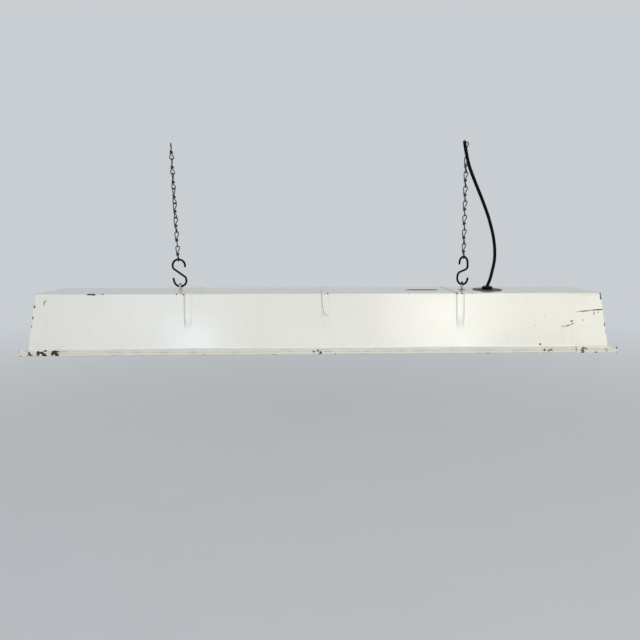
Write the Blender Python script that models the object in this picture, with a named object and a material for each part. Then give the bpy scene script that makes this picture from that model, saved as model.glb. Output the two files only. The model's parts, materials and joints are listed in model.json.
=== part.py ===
"""Pool table lamp: a long cream enamelled steel hood hung on two chains.

Frame: origin at the centre of the rim's bottom plane, +X along the hood to the
right, +Z up, the front wall faces -Y.  All dimensions are in millimetres and
are turned into metres when the meshes are made.  Angles are in degrees.
"""
import math

import bpy
import bmesh
from mathutils import Matrix, Vector

MM = 0.001
GAP = 0.3                      # clearance left between neighbouring pieces
SIDES = ("left", "right")      # -X, +X

# ---- hood -----------------------------------------------------------------
LENGTH = 1500.0                # over the rim, along X
WIDTH = 225.0                  # over the rim, along Y
HEIGHT = 150.0                 # rim bottom to top plate
SHEET = 1.0                    # steel thickness
LAP = SHEET + GAP              # set-back of a sheet lying behind another
UNDER_TOP = HEIGHT - LAP       # top of the parts held against the top plate
CUT_LOW, CUT_HIGH = HEIGHT - 8, HEIGHT + 8   # reach of the top plate's cutters
RIM_H = 14.0                   # height of the rim lip
RIM_OUT = 16.5                 # how far the rim stands out from the wall foot
WALL_LEAN = 20.0               # how far each wall leans out over its height
WALL_H = HEIGHT - RIM_H
WALL_SLOPE = math.hypot(WALL_LEAN, WALL_H)
HEM = 2.4                      # thickness of the folded hem at the lip bottom
HEM_H = 7.0
FOOT_X = LENGTH / 2 - RIM_OUT  # half length at the wall foot
FOOT_Y = WIDTH / 2 - RIM_OUT
LIP_Y = WIDTH / 2 - LAP        # outer face of the long lips
# pressed beads across the top and down both long walls
BEAD_X = (-338.0, 7.0, 351.0)
BEAD_HALF = 9.0
BEAD_RISE = 2.0
BEAD_DOWN = 88.0               # slope distance at which a bead has died out
BEAD_FULL = 0.82 * BEAD_DOWN   # slope distance down to which it keeps its rise
BEAD_MIDDLE = 0.45 * BEAD_DOWN  # a section point between BEAD_FULL and the top
BEAD_STEPS = 3                 # stations on each side of a bead's crest
# obround slot in the top plate
SLOT_X, SLOT_L, SLOT_W = 270.0, 88.0, 28.0

# ---- end caps and rim corners ---------------------------------------------
RETURN = 28.0                  # how far the end rims return along the long sides
SHELF_OVERLAP = 0.2            # shelf laid over the end of the foot flange
TOP_TAB_X = (0.4, 16.0)        # tab reach inwards from the end panel
TOP_TAB_INSET = (6.0, 8.0)     # its ends' set-back from the long walls
SIDE_TAB_X = (0.5, 14.0)
SIDE_TAB_INSET = 8.0           # set-back from the rim and from the top
CORNER_LAP = 77.0              # length of a rim corner along X
CORNER_TOP = 11.0              # width of its upper leg

# ---- suspension -------------------------------------------------------------
PLAY = 0.4                     # play between wires that pull on each other
EYE_X = {"left": -374.0, "right": 378.0}
EYE_TURN = {"left": 0.0, "right": -25.0}   # ring plane, about the vertical
EYE_WIRE = 5.4
EYE_OD = {"left": 17.9, "right": 21.2}
EYE_TOP = {"left": 19.5, "right": 22.8}   # top of the ring above the plate
SHANK_R = 2.5
SHANK_LOW = HEIGHT - 14.0
WASHER_R = 9.0
WASHER_T = 0.8
WASHER_CHAMFER = 0.4
EYE_NUT_AF, EYE_NUT_T = 10.0, 5.0

HOOK_WIRE = 5.4
HOOK_R = 16.2                  # centre-line radius of both bows
HOOK_RISE = {"left": 19.3, "right": 20.8}   # bow centre above or below the middle
HOOK_SHIFT = 1.0               # bow centres' sideways offset
HOOK_BEND_R = 12.0             # bend where a bow's side runs into the diagonal
HOOK_BEND = {"left": 54.0, "right": 68.0}
HOOK_MIN_FLANK = 1.0           # a shorter straight between bow and bend is left out
# upper and lower bow: where the arc stops short of its level line, in degrees,
# and the straight end beyond it
HOOK_TIPS = {"left": ((-12.0, 0.0), (12.0, 9.5)), "right": ((0.0, 4.6), (12.0, 5.8))}
HOOK_TURN = {"left": 0.0, "right": 119.0}
HOOK_TWIST = {"left": 0.0, "right": -14.0}   # upper bow against lower bow

CHAIN_LEAN = -1.2              # tilt about Y; negative leans towards -X
LINK_WIRE = 2.6
LINK_R = 4.8                   # centre-line radius at a loop's end
LINK_PITCH = 36.7
LINK_HALF = (LINK_PITCH + LINK_WIRE + PLAY) / 2   # middle to a crest's centre line
KNOT_R = 3.1                   # radius of the wire wrapped round the waist
KNOT_LOW, KNOT_RISE = 0.4, 2.9
CORE_Z = 4.9                   # where the wire comes back to the link's axis
WAIST_Z = -2.2                 # the waist sits below the middle of a link
WAIST_X = -1.2                 # and a little to one side of the pull
# turn of each link about the chain's run, lowest link first
LINK_TWIST = {
    "left": (0, 16, 30, 48, 70, 86, 97, 110),
    "right": (-44, -34, -23, -14, -8, -4, 0, 2),
}

# ---- cable entry --------------------------------------------------------------
ENTRY_X = 447.0
DISC_D, DISC_T = 76.0, 1.2
DISC_Z = HEIGHT + GAP
GLAND_AF = 27.0
GLAND_HEX = 2.5                # height of the gland's hexagon
GLAND_BORE = 6.3               # radius
GLAND_Z = DISC_Z + DISC_T + GAP
DOME_Z = GLAND_Z + GLAND_HEX + GAP
STEM_R = 8.0
STEM_LOW = HEIGHT - 14.0
LOCKNUT_AF, LOCKNUT_T = 22.0, 4.5
CABLE_R = 4.0
CABLE_FORWARD = 90.0           # how far the cable comes forward over the climb
CABLE_CLIMB = 391.0
CABLE_BOW = 1.6                # power of the forward curve
# x, y, z: from the terminal block up through the gland
CABLE_LOW = [
    (416.5, -40, 138), (421, -36, 133.5), (431, -22, 128), (441, -7, 127),
    (ENTRY_X, 0, 133), (ENTRY_X, 0, 141), (ENTRY_X, 0, HEIGHT + 4),
]
# offset along X from the entry, height above the top plate
CABLE_HIGH = [
    (0.5, 12.0), (3.6, 20.0), (6.8, 32.0), (10.4, 54.0), (12.8, 75.0), (12.0, 96.0),
    (8.6, 117.0), (3.3, 138.0), (-3.9, 159.0), (-12.1, 179.0), (-21.1, 199.0),
    (-42.3, 238.5), (-64.4, 276.5), (-84.8, 313.5), (-98.8, 349.0), (-105.0, 368.0),
]

# ---- lamps ----------------------------------------------------------------------
LAMP_X = {"left": -500.0, "centre": 0.0, "right": 500.0}
BRACKET_Z = 139.7              # underside of the bracket web
BRACKET_T = 1.2
BRACKET_REACH = 36.0           # half length over the feet
BRACKET_WEB = 22.0             # half length over the web
BRACKET_HALF_W = 12.0
BRACKET_HOLE_R = 5.3
HOLDER_TOP = BRACKET_Z - GAP
HOLDER_LOW = HOLDER_TOP - 44.0
HOLDER_R = 23.0
BULB_TOP = 118.0               # tip of the bulb's contact
BULB_LEN = 106.0
BULB_R = 30.0
CAP_LOW = BULB_TOP - 27.0      # open end of the bulb's cap
NECK_R = 12.9                  # glass radius where it meets the cap

# ---- terminal block and wiring ----------------------------------------------------
BLOCK_X = (383.0, 413.0)
BLOCK_Y = (-50.0, -28.0)
BLOCK_STEP, BLOCK_LOW = 6.0, 11.0   # depths of the block's base and its towers
TOWER_HALF, TOWER_PITCH = 2.4, 7.3
FIRST_TOWER = 3.7              # first tower's centre from the rear face
WIRE_R = 1.4
WIRE_Z = 144.2
# where each lamp's wire leaves the block: x, y
WIRE_START = {
    "left": (BLOCK_X[0] - GAP, -42.6),
    "centre": (BLOCK_X[0] - GAP, -35.4),
    "right": (BLOCK_X[1] + GAP, -46.0),
}


for old in list(bpy.data.objects):
    bpy.data.objects.remove(old, do_unlink=True)


# ---------------------------------------------------------------- materials
def material(name, colour, roughness, metallic=0.0):
    mat = bpy.data.materials.new(name)
    mat.use_nodes = True
    shader = mat.node_tree.nodes["Principled BSDF"]
    shader.inputs["Base Color"].default_value = (*colour, 1.0)
    shader.inputs["Roughness"].default_value = roughness
    shader.inputs["Metallic"].default_value = metallic
    return mat


ENAMEL = material("cream_enamel", (0.83, 0.80, 0.72), roughness=0.22)
ENAMEL_END = material("cream_enamel_end", (0.80, 0.78, 0.70), roughness=0.25)
ENAMEL_LAP = material("cream_enamel_lap", (0.78, 0.76, 0.69), roughness=0.3)
EYE_PAINT = {
    "left": material("painted_eye", (0.72, 0.70, 0.62), roughness=0.35),
    "right": material("rusty_eye", (0.20, 0.11, 0.06), roughness=0.8, metallic=0.3),
}
WASHER = material("zinc_washer", (0.45, 0.44, 0.42), roughness=0.45, metallic=0.8)
NUT = material("zinc_nut", (0.40, 0.39, 0.37), roughness=0.4, metallic=0.9)
HOOK = material("blackened_steel", (0.03, 0.03, 0.032), roughness=0.45, metallic=0.8)
CHAIN = material("galvanised_wire", (0.34, 0.34, 0.33), roughness=0.45, metallic=0.9)
DISC = material("grey_zinc_disc", (0.13, 0.125, 0.12), roughness=0.5, metallic=0.7)
GLAND = material("black_gland_body", (0.012, 0.012, 0.013), roughness=0.4)
DOME = material("black_dome_nut", (0.016, 0.016, 0.017), roughness=0.35)
SEAL = material("black_rubber_seal", (0.02, 0.02, 0.02), roughness=0.8)
LOCKNUT = material("black_locknut", (0.02, 0.02, 0.022), roughness=0.45)
CABLE = material("black_cable", (0.010, 0.010, 0.011), roughness=0.5)
BLOCK = material("terminal_plastic", (0.70, 0.70, 0.68), roughness=0.5)
BRACKET = material("zinc_bracket", (0.50, 0.50, 0.49), roughness=0.4, metallic=0.9)
PORCELAIN = material("white_porcelain", (0.86, 0.85, 0.82), roughness=0.15)
BRASS = material("brass_shell", (0.72, 0.52, 0.23), roughness=0.3, metallic=1.0)
CONTACT = material("brass_contact", (0.66, 0.47, 0.22), roughness=0.35, metallic=1.0)
OPAL = material("opal_glass", (0.90, 0.90, 0.88), roughness=0.2)
CAP = material("bulb_cap_metal", (0.72, 0.70, 0.66), roughness=0.3, metallic=1.0)
WIRE = material("black_wire", (0.02, 0.02, 0.022), roughness=0.5)


# ------------------------------------------------------------------ helpers
def finish(name, bm, mat, origin=(0, 0, 0), smooth=None):
    """Turn a bmesh in millimetres into a named object with its own origin.
    smooth: the angle above which edges stay sharp; None shades flat."""
    origin = Vector(origin)
    bmesh.ops.recalc_face_normals(bm, faces=bm.faces)
    bmesh.ops.transform(bm, matrix=Matrix.Scale(MM, 4) @ Matrix.Translation(-origin),
                        verts=bm.verts)
    mesh = bpy.data.meshes.new(name)
    bm.to_mesh(mesh)
    bm.free()
    mesh.materials.append(mat)
    piece = bpy.data.objects.new(name, mesh)
    bpy.context.scene.collection.objects.link(piece)
    piece.location = origin * MM
    if smooth is not None:
        mesh.shade_smooth()
        mesh.set_sharp_from_angle(angle=math.radians(smooth))
    return piece


def boolean(piece, helper, operation):
    """Cut or join a helper shape, which is not itself a piece."""
    helper.hide_render = True
    helper.display_type = "WIRE"
    mod = piece.modifiers.new(operation.lower() + "_" + helper.name, "BOOLEAN")
    mod.operation = operation
    mod.solver = "EXACT"
    mod.object = helper


def skin(loops, ring=False):
    """Skin equal vertex loops; cap both ends, or join them up in a ring."""
    bm = bmesh.new()
    rows = [[bm.verts.new(point) for point in loop] for loop in loops]
    count = len(rows[0])
    following = rows[1:] + rows[:1] if ring else rows[1:]
    for low, high in zip(rows, following):
        for k in range(count):
            after = (k + 1) % count
            bm.faces.new((low[k], low[after], high[after], high[k]))
    if not ring:
        bm.faces.new(rows[0][::-1])
        bm.faces.new(rows[-1])
    return bm


def full_turn(count):
    return [2 * math.pi * k / count for k in range(count)]


def sweep(points, radius, sides):
    """A round wire along a path, with a frame carried along without twist."""
    points = [Vector(point) for point in points]
    last = len(points) - 1
    tangents = [(points[min(i + 1, last)] - points[max(i - 1, 0)]).normalized()
                for i in range(last + 1)]
    side = tangents[0].orthogonal().normalized()
    loops = []
    for i, (point, tangent) in enumerate(zip(points, tangents)):
        if i:
            side = tangents[i - 1].rotation_difference(tangent) @ side
            side = (side - tangent * side.dot(tangent)).normalized()
        other = tangent.cross(side)
        loops.append([point + radius * (math.cos(a) * side + math.sin(a) * other)
                      for a in full_turn(sides)])
    return skin(loops)


def circle(centre_x, radius, segments):
    return [(centre_x + radius * math.cos(a), radius * math.sin(a))
            for a in full_turn(segments)]


def at_height(outline, z):
    return [(x, y, z) for x, y in outline]


def turned(profile, segments, centre_x):
    """Spin a (radius, z) profile that starts and ends on the vertical axis."""
    bm = bmesh.new()
    rows = []
    for radius, z in profile:
        outline = circle(centre_x, radius, segments) if radius else [(centre_x, 0)]
        rows.append([bm.verts.new(point) for point in at_height(outline, z)])
    for first, second in zip(rows, rows[1:]):
        for k in range(segments):
            after = (k + 1) % segments
            if len(first) == 1:
                bm.faces.new((first[0], second[after], second[k]))
            elif len(second) == 1:
                bm.faces.new((first[k], first[after], second[0]))
            else:
                bm.faces.new((first[k], first[after], second[after], second[k]))
    return bm


def turned_ring(profile, segments, centre_x):
    """Spin a (radius, z) profile that is closed on itself, off the axis."""
    return skin([at_height(circle(centre_x, radius, segments), z) for radius, z in profile],
                ring=True)


def prism(outline, z_low, z_high):
    return skin([at_height(outline, z_low), at_height(outline, z_high)])


def cylinder(centre_x, radius, z_low, z_high, segments):
    return prism(circle(centre_x, radius, segments), z_low, z_high)


def hex_nut(centre_x, across, z_low, z_high, bore, turn=0.0, per_side=3):
    """A bored hexagon, turn in radians; per_side points along each side let
    the bore stay round."""
    radius = across / math.sqrt(3.0)
    corners = [Vector((centre_x + radius * math.cos(turn + k * math.pi / 3),
                       radius * math.sin(turn + k * math.pi / 3))) for k in range(6)]
    outer = [tuple(corners[k].lerp(corners[(k + 1) % 6], step / per_side))
             for k in range(6) for step in range(per_side)]
    inner = []
    for x, y in outer:
        angle = math.atan2(y, x - centre_x)
        inner.append((centre_x + bore * math.cos(angle), bore * math.sin(angle)))
    return skin([at_height(inner, z_low), at_height(outer, z_low),
                 at_height(outer, z_high), at_height(inner, z_high)], ring=True)


def slab(corners, thickness):
    """A sheet: four corners and the vector from them through the thickness."""
    near = [Vector(point) for point in corners]
    return skin([near, [point + Vector(thickness) for point in near]])


def smooth_path(points, step):
    """Catmull-Rom curve through the points, sampled at about one step."""
    knots = [Vector(point) for point in points]
    knots = [2 * knots[0] - knots[1]] + knots + [2 * knots[-1] - knots[-2]]
    out = [knots[1]]
    for before, start, end, beyond in zip(knots, knots[1:], knots[2:], knots[3:]):
        count = max(1, round((end - start).length / step))
        for k in range(1, count + 1):
            part = k / count
            out.append(0.5 * (2 * start + (end - before) * part
                              + (2 * before - 5 * start + 4 * end - beyond) * part ** 2
                              + (3 * start - before - 3 * end + beyond) * part ** 3))
    return out


# --------------------------------------------------------------------- hood
def wall_inset(z):
    """How far a leaning wall has come in from its foot at height z."""
    return WALL_LEAN * max(0.0, z - RIM_H) / WALL_H


def half_length(z):
    return FOOT_X - wall_inset(z)


def wall_y(z):
    return FOOT_Y - wall_inset(z)


def hood_chain():
    """Outer line of the folded sheet from front lip to back lip, with how far
    down its wall each point lies (None on the lips, 0 on the top)."""
    front = [(-LIP_Y, 0.0, None), (-LIP_Y, HEM_H, None), (-LIP_Y, RIM_H, None),
             (-FOOT_Y, RIM_H, WALL_SLOPE)]
    for down in (BEAD_DOWN, BEAD_FULL, BEAD_MIDDLE, 0.0):
        z = HEIGHT - down * WALL_H / WALL_SLOPE
        front.append((-wall_y(z), z, down))
    return front + [(-y, z, down) for y, z, down in reversed(front)]


def hood_section():
    """Outer points, then inner points backwards: y, z, the mitre direction
    in which a bead moves the point, and its distance down the wall."""
    chain = hood_chain()
    last = len(chain) - 1
    normals = []
    for (y0, z0, _), (y1, z1, _) in zip(chain, chain[1:]):
        length = math.hypot(y1 - y0, z1 - z0)
        normals.append((-(z1 - z0) / length, (y1 - y0) / length))
    outer, inner = [], []
    for i, (y, z, down) in enumerate(chain):
        before, after = normals[max(i - 1, 0)], normals[min(i, last - 1)]
        scale = 1 + before[0] * after[0] + before[1] * after[1]
        mitre = ((before[0] + after[0]) / scale, (before[1] + after[1]) / scale)
        # the lip is folded back on itself at the bottom: a thicker hem
        thick = HEM if i in (0, 1, last - 1, last) else SHEET
        outer.append((y, z, mitre, down))
        inner.append((y - thick * mitre[0], z - thick * mitre[1], mitre, down))
    return outer + inner[::-1]


def bead_rise(offset, down):
    """Rise of a bead at an offset along X and a distance down the wall."""
    if down is None or abs(offset) >= BEAD_HALF:
        return 0.0
    fade = min(1.0, max(0.0, (BEAD_DOWN - down) / (BEAD_DOWN - BEAD_FULL)))
    return BEAD_RISE * fade * 0.5 * (1 + math.cos(math.pi * offset / BEAD_HALF))


def slot_outline():
    points = []
    for end, start in ((1, -90), (-1, 90)):
        for k in range(7):
            angle = math.radians(start + 30 * k)
            points.append((SLOT_X + end * (SLOT_L - SLOT_W) / 2 + SLOT_W / 2 * math.cos(angle),
                           SLOT_W / 2 * math.sin(angle)))
    return points


def hood_body():
    section = hood_section()

    def end_loop(end):
        return [(end * half_length(z), y, z) for y, z, _, _ in section]

    loops = [end_loop(-1)]
    for bead_x in BEAD_X:
        for k in range(-BEAD_STEPS, BEAD_STEPS + 1):
            offset = k * BEAD_HALF / BEAD_STEPS
            loop = []
            for y, z, mitre, down in section:
                rise = bead_rise(offset, down)
                loop.append((bead_x + offset, y + rise * mitre[0], z + rise * mitre[1]))
            loops.append(loop)
    loops.append(end_loop(1))
    body = finish("hood_body", skin(loops), ENAMEL)

    holes = [("eye_hole_" + side, cylinder(x, SHANK_R + GAP, CUT_LOW, CUT_HIGH, 12))
             for side, x in EYE_X.items()]
    holes.append(("gland_hole", cylinder(ENTRY_X, STEM_R + GAP, CUT_LOW, CUT_HIGH, 16)))
    holes.append(("top_slot", prism(slot_outline(), CUT_LOW, CUT_HIGH)))
    for name, cutter in holes:
        boolean(body, finish(name, cutter, NUT), "DIFFERENCE")


def end_cap(name, end):
    """Leaning end panel with its own rim, boxed at both corners.
    end: +1 or -1 along X; the shapes are laid out for +1 and mirrored."""
    lean_cos = WALL_H / WALL_SLOPE
    sheet_x = SHEET / lean_cos           # sheet thickness measured along X

    def inner_y(z):
        return wall_y(z) - LAP / lean_cos

    def panel_x(z):                      # just inside the open end of the body
        return half_length(z) - GAP

    def sheet(suffix, corners, thickness):
        def mirror(point):
            return (end * point[0], point[1], point[2])
        bm = slab([mirror(point) for point in corners], mirror(thickness))
        return finish(name + suffix, bm, ENAMEL_END)

    def join(suffix, corners, thickness):
        boolean(cap, sheet(suffix, corners, thickness), "UNION")

    top, shelf_z = UNDER_TOP, RIM_H - SHEET
    foot_y, top_y = inner_y(RIM_H), inner_y(top)
    foot_x, top_x = panel_x(RIM_H), panel_x(top)
    rim_x, rim_y = LENGTH / 2, WIDTH / 2
    cap = sheet("", [(foot_x, -foot_y, shelf_z), (foot_x, foot_y, shelf_z),
                     (top_x, top_y, top), (top_x, -top_y, top)], (-sheet_x, 0, 0))

    # flange under the panel, then the shelf out to the lip
    foot_in, foot_out = foot_x - sheet_x, FOOT_X + GAP
    join("_foot", [(foot_in, -foot_y, shelf_z), (foot_out, -foot_y, shelf_z),
                   (foot_out, foot_y, shelf_z), (foot_in, foot_y, shelf_z)], (0, 0, SHEET))
    shelf_x = foot_out - SHELF_OVERLAP
    join("_shelf", [(shelf_x, -rim_y, shelf_z), (rim_x, -rim_y, shelf_z),
                    (rim_x, rim_y, shelf_z), (shelf_x, rim_y, shelf_z)], (0, 0, SHEET))
    join("_lip", [(rim_x, -rim_y, 0), (rim_x, rim_y, 0),
                  (rim_x, rim_y, RIM_H), (rim_x, -rim_y, RIM_H)], (-HEM, 0, 0))
    # returns of the rim along the long sides
    return_x = rim_x - RETURN
    for wall in (-1, 1):
        y = wall * rim_y
        join("_box_%d" % wall, [(return_x, y, 0), (rim_x, y, 0), (rim_x, y, RIM_H),
                                (return_x, y, RIM_H)], (0, -wall * SHEET, 0))
    # spot-weld tabs under the top plate and along the two long walls
    near_x, far_x = (top_x - reach for reach in TOP_TAB_X)
    near_y, far_y = (top_y - inset for inset in TOP_TAB_INSET)
    join("_tab", [(near_x, -near_y, top), (far_x, -far_y, top),
                  (far_x, far_y, top), (near_x, near_y, top)], (0, 0, -SHEET))
    near, far = SIDE_TAB_X
    low, high = RIM_H + SIDE_TAB_INSET, top - SIDE_TAB_INSET
    for wall in (-1, 1):
        corners = [(panel_x(z) - reach, wall * inner_y(z), z)
                   for z, reach in ((low, near), (low, far), (high, far), (high, near))]
        join("_side_%d" % wall, corners, (0, -wall * SHEET, 0))


def rim_corner(name, side_x, side_y):
    """Angle lapped over the end of a long rim, next to the end cap's return."""
    outer_x = LENGTH / 2 - RETURN - GAP
    y_out, y_in = WIDTH / 2, WIDTH / 2 - SHEET
    z_in = RIM_H + GAP
    z_top = z_in + SHEET
    outline = [(y_in, 0.0), (y_out, 0.0), (y_out, z_top), (y_out - CORNER_TOP, z_top),
               (y_out - CORNER_TOP, z_in), (y_in, z_in)]
    loops = [[(side_x * x, side_y * y, z) for y, z in outline]
             for x in (outer_x - CORNER_LAP, outer_x)]
    finish(name, skin(loops), ENAMEL_LAP)


# --------------------------------------------------------------- suspension
def eye_pivot(side):
    """Height of the ring's top wire, which the hook hangs on."""
    return HEIGHT + EYE_TOP[side] - EYE_WIRE / 2


def eye_bolt(side):
    """A ring standing across the hood on a shank through the top plate."""
    x = EYE_X[side]
    radius = (EYE_OD[side] - EYE_WIRE) / 2
    centre_z = HEIGHT + EYE_TOP[side] - EYE_OD[side] / 2
    turn = Matrix.Rotation(math.radians(EYE_TURN[side]), 3, "Z")
    across = turn @ Vector((1, 0, 0))
    segments = 14
    loops = []
    for i in range(segments):
        angle = 2 * math.pi * (i + 0.5) / segments
        out = turn @ Vector((0, math.cos(angle), math.sin(angle)))
        middle = Vector((x, 0, centre_z)) + radius * out
        loops.append([middle + EYE_WIRE / 2 * (math.cos(a) * out + math.sin(a) * across)
                      for a in full_turn(6)])
    mat = EYE_PAINT[side]
    bolt = finish("eye_bolt_" + side, skin(loops, ring=True), mat, smooth=40)
    shank_top = centre_z - radius
    shank = turned([(0, SHANK_LOW), (SHANK_R, SHANK_LOW), (SHANK_R, shank_top),
                    (0, shank_top)], 10, x)
    boolean(bolt, finish("eye_shank_" + side, shank, mat), "UNION")


def eye_washer(side):
    bore, low = SHANK_R + GAP, HEIGHT + GAP
    high = low + WASHER_T
    profile = [(bore, low), (WASHER_R, low), (WASHER_R - WASHER_CHAMFER, high), (bore, high)]
    finish("eye_washer_" + side, turned_ring(profile, 16, EYE_X[side]), WASHER)


def eye_nut(side):
    finish("eye_nut_" + side,
           hex_nut(EYE_X[side], EYE_NUT_AF, UNDER_TOP - EYE_NUT_T, UNDER_TOP,
                   SHANK_R + GAP, per_side=2), NUT)


def hook_half(side, stop, straight):
    """Half of a hook: free end, round bow, flank, then the bend into the
    diagonal, which runs through the hook's middle.  XZ plane."""
    rise = HOOK_RISE[side]
    out = []
    if straight:
        angle = math.radians(stop)
        out.append(Vector((
            -HOOK_SHIFT + HOOK_R * math.cos(angle) + straight * math.sin(angle), 0,
            rise + HOOK_R * math.sin(angle) - straight * math.cos(angle))))
    steps = 9
    for k in range(steps + 1):
        angle = math.radians(stop + (180.0 - stop) * k / steps)
        out.append(Vector((-HOOK_SHIFT + HOOK_R * math.cos(angle), 0,
                           rise + HOOK_R * math.sin(angle))))
    bend = math.radians(HOOK_BEND[side])
    flank_x = -HOOK_SHIFT - HOOK_R
    bend_z = (HOOK_BEND_R * math.sin(bend)
              - (flank_x + HOOK_BEND_R * (1 - math.cos(bend))) / math.tan(bend))
    if rise - bend_z > HOOK_MIN_FLANK:
        out.append(Vector((flank_x, 0, bend_z)))
    for k in range(1, 5):
        angle = math.pi + bend * k / 4
        out.append(Vector((flank_x + HOOK_BEND_R * (1 + math.cos(angle)), 0,
                           bend_z + HOOK_BEND_R * math.sin(angle))))
    return out


def hook_turn(side, z):
    """Turn of the hook about the vertical; its bows are twisted a little apart."""
    share = max(-1.0, min(1.0, z / HOOK_RISE[side]))
    return Matrix.Rotation(math.radians(HOOK_TURN[side] + HOOK_TWIST[side] / 2 * share), 4, "Z")


def hook_middle(side):
    """The hook's middle, placed so that its lower bow hangs right on the eye."""
    z = (eye_pivot(side) - (EYE_WIRE + HOOK_WIRE) / 2 - PLAY + HOOK_RISE[side] + HOOK_R)
    shift = hook_turn(side, -HOOK_RISE[side]) @ Vector((-HOOK_SHIFT, 0, 0))
    return Vector((EYE_X[side], 0, z)) + shift


def s_hook(side):
    upper_tip, lower_tip = HOOK_TIPS[side]
    points = hook_half(side, *upper_tip)
    points += [Vector((-p.x, 0, -p.z)) for p in reversed(hook_half(side, *lower_tip))]
    middle = hook_middle(side)
    points = [hook_turn(side, p.z) @ p + middle for p in points]
    finish("s_hook_" + side, sweep(points, HOOK_WIRE / 2, 8), HOOK,
           origin=(EYE_X[side], 0, eye_pivot(side)), smooth=40)


def half_link(crest):
    """Half of a link's one wire, waist upwards: a wrap round the waist, up into
    the loop in XZ, and straight down into the waist.  crest: height of the
    loop's crest above the waist."""
    points = []
    wraps = 6
    for k in range(wraps + 1):
        angle = math.radians(-180 + 360 * k / wraps)
        points.append((KNOT_R * math.cos(angle), KNOT_R * math.sin(angle),
                       KNOT_LOW + KNOT_RISE * k / wraps))
    loop_z = crest - LINK_R
    knot_top = KNOT_LOW + KNOT_RISE
    points.append((-KNOT_R - 0.35, 0, knot_top + 0.3 * (loop_z - knot_top)))
    for k in range(6):
        angle = math.radians(180 - 36 * k)
        points.append((LINK_R * math.cos(angle), 0, loop_z + LINK_R * math.sin(angle)))
    points.append((0.55 * LINK_R, 0, CORE_Z + 0.42 * (loop_z - CORE_Z)))
    points.append((0, 0, CORE_Z))
    return points


def link_path():
    """The upper loop stands in XZ, the lower one in YZ."""
    up, down = LINK_HALF - WAIST_Z, LINK_HALF + WAIST_Z
    points = half_link(up) + [(-y, -x, -z) for x, y, z in reversed(half_link(down))]
    out = []
    for x, y, z in points:
        part = z / (up if z > 0 else down)
        out.append((x + WAIST_X * (1 - part ** 2) ** 2, y, z + WAIST_Z))
    return out


def chain(side):
    """Links from the crest of the hook's upper bow upwards."""
    rise = HOOK_RISE[side]
    hang = (hook_middle(side) + hook_turn(side, rise) @ Vector((-HOOK_SHIFT, 0, 0))
            + Vector((0, 0, rise + HOOK_R)))
    run = Matrix.Translation(hang) @ Matrix.Rotation(math.radians(CHAIN_LEAN), 4, "Y")
    # heights along the run: the wire a link is held by, and its own lowest wire
    held = 0.0
    held_wire = HOOK_WIRE
    for i, twist in enumerate(LINK_TWIST[side]):
        own = held - (held_wire + LINK_WIRE) / 2 - PLAY
        place = (run @ Matrix.Translation((0, 0, own + LINK_HALF))
                 @ Matrix.Rotation(math.radians(twist), 4, "Z"))
        points = [place @ Vector(point) for point in link_path()]
        # odd-numbered links swing round the wire that holds them, even ones
        # round their own lowest wire
        pivot = run @ Vector((0, 0, held if i % 2 == 0 else own))
        finish("chain_link_%s_%d" % (side, i + 1), sweep(points, LINK_WIRE / 2, 5), CHAIN,
               origin=pivot, smooth=50)
        held = own + 2 * LINK_HALF
        held_wire = LINK_WIRE


# -------------------------------------------------------------- cable entry
def cable_entry_disc():
    bore, outer, high = STEM_R + GAP, DISC_D / 2, DISC_Z + DISC_T
    profile = [(bore, DISC_Z), (outer, DISC_Z), (outer, high), (bore, high)]
    finish("cable_entry_disc", turned_ring(profile, 32, ENTRY_X), DISC, smooth=40)


def gland_body():
    """A hexagon on the disc with a stem down through the top plate."""
    body = finish("gland_body", hex_nut(ENTRY_X, GLAND_AF, GLAND_Z, GLAND_Z + GLAND_HEX,
                                        GLAND_BORE, turn=0.3), GLAND)
    stem_top = GLAND_Z + 0.5             # runs a little way into the hexagon
    profile = [(GLAND_BORE, STEM_LOW), (STEM_R, STEM_LOW), (STEM_R, stem_top),
               (GLAND_BORE, stem_top)]
    stem = finish("gland_stem", turned_ring(profile, 18, ENTRY_X), GLAND)
    boolean(body, stem, "UNION")


def gland_dome_nut():
    bore, outer = GLAND_BORE + 0.6, GLAND_AF / 2
    # radius, height above the nut's foot
    profile = [(bore, 0.0), (outer, 0.0), (outer + 0.6, 1.8), (outer - 1.0, 3.6), (9.6, 5.2),
               (CABLE_R + 1.3, 5.9), (CABLE_R + 0.9, 5.4), (CABLE_R + 0.9, 4.4), (bore, 3.4)]
    bm = turned_ring([(radius, DOME_Z + z) for radius, z in profile], 18, ENTRY_X)
    finish("gland_dome_nut", bm, DOME, origin=(ENTRY_X, 0, DOME_Z), smooth=40)


def gland_seal():
    """Sleeve between the cable and the gland's bore."""
    inner, outer, low = CABLE_R + GAP, GLAND_BORE - GAP, GLAND_Z - 3.0
    profile = [(inner, low), (outer, low), (outer, DOME_Z + 2.8), (inner, DOME_Z + 3.3)]
    finish("gland_seal", turned_ring(profile, 14, ENTRY_X), SEAL, smooth=40)


def gland_locknut():
    finish("gland_locknut", hex_nut(ENTRY_X, LOCKNUT_AF, UNDER_TOP - LOCKNUT_T, UNDER_TOP,
                                    STEM_R + GAP, turn=0.1), LOCKNUT)


def mains_cable():
    """Up from the terminal block, through the gland, then leaning away
    towards the front and back over the right-hand chain."""
    high = [(ENTRY_X + x, -CABLE_FORWARD * (climb / CABLE_CLIMB) ** CABLE_BOW, HEIGHT + climb)
            for x, climb in CABLE_HIGH]
    path = smooth_path(CABLE_LOW, 8.0)[:-1] + smooth_path([CABLE_LOW[-1]] + high, 19.0)
    finish("mains_cable", sweep(path, CABLE_R, 8), CABLE, smooth=40)


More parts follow.
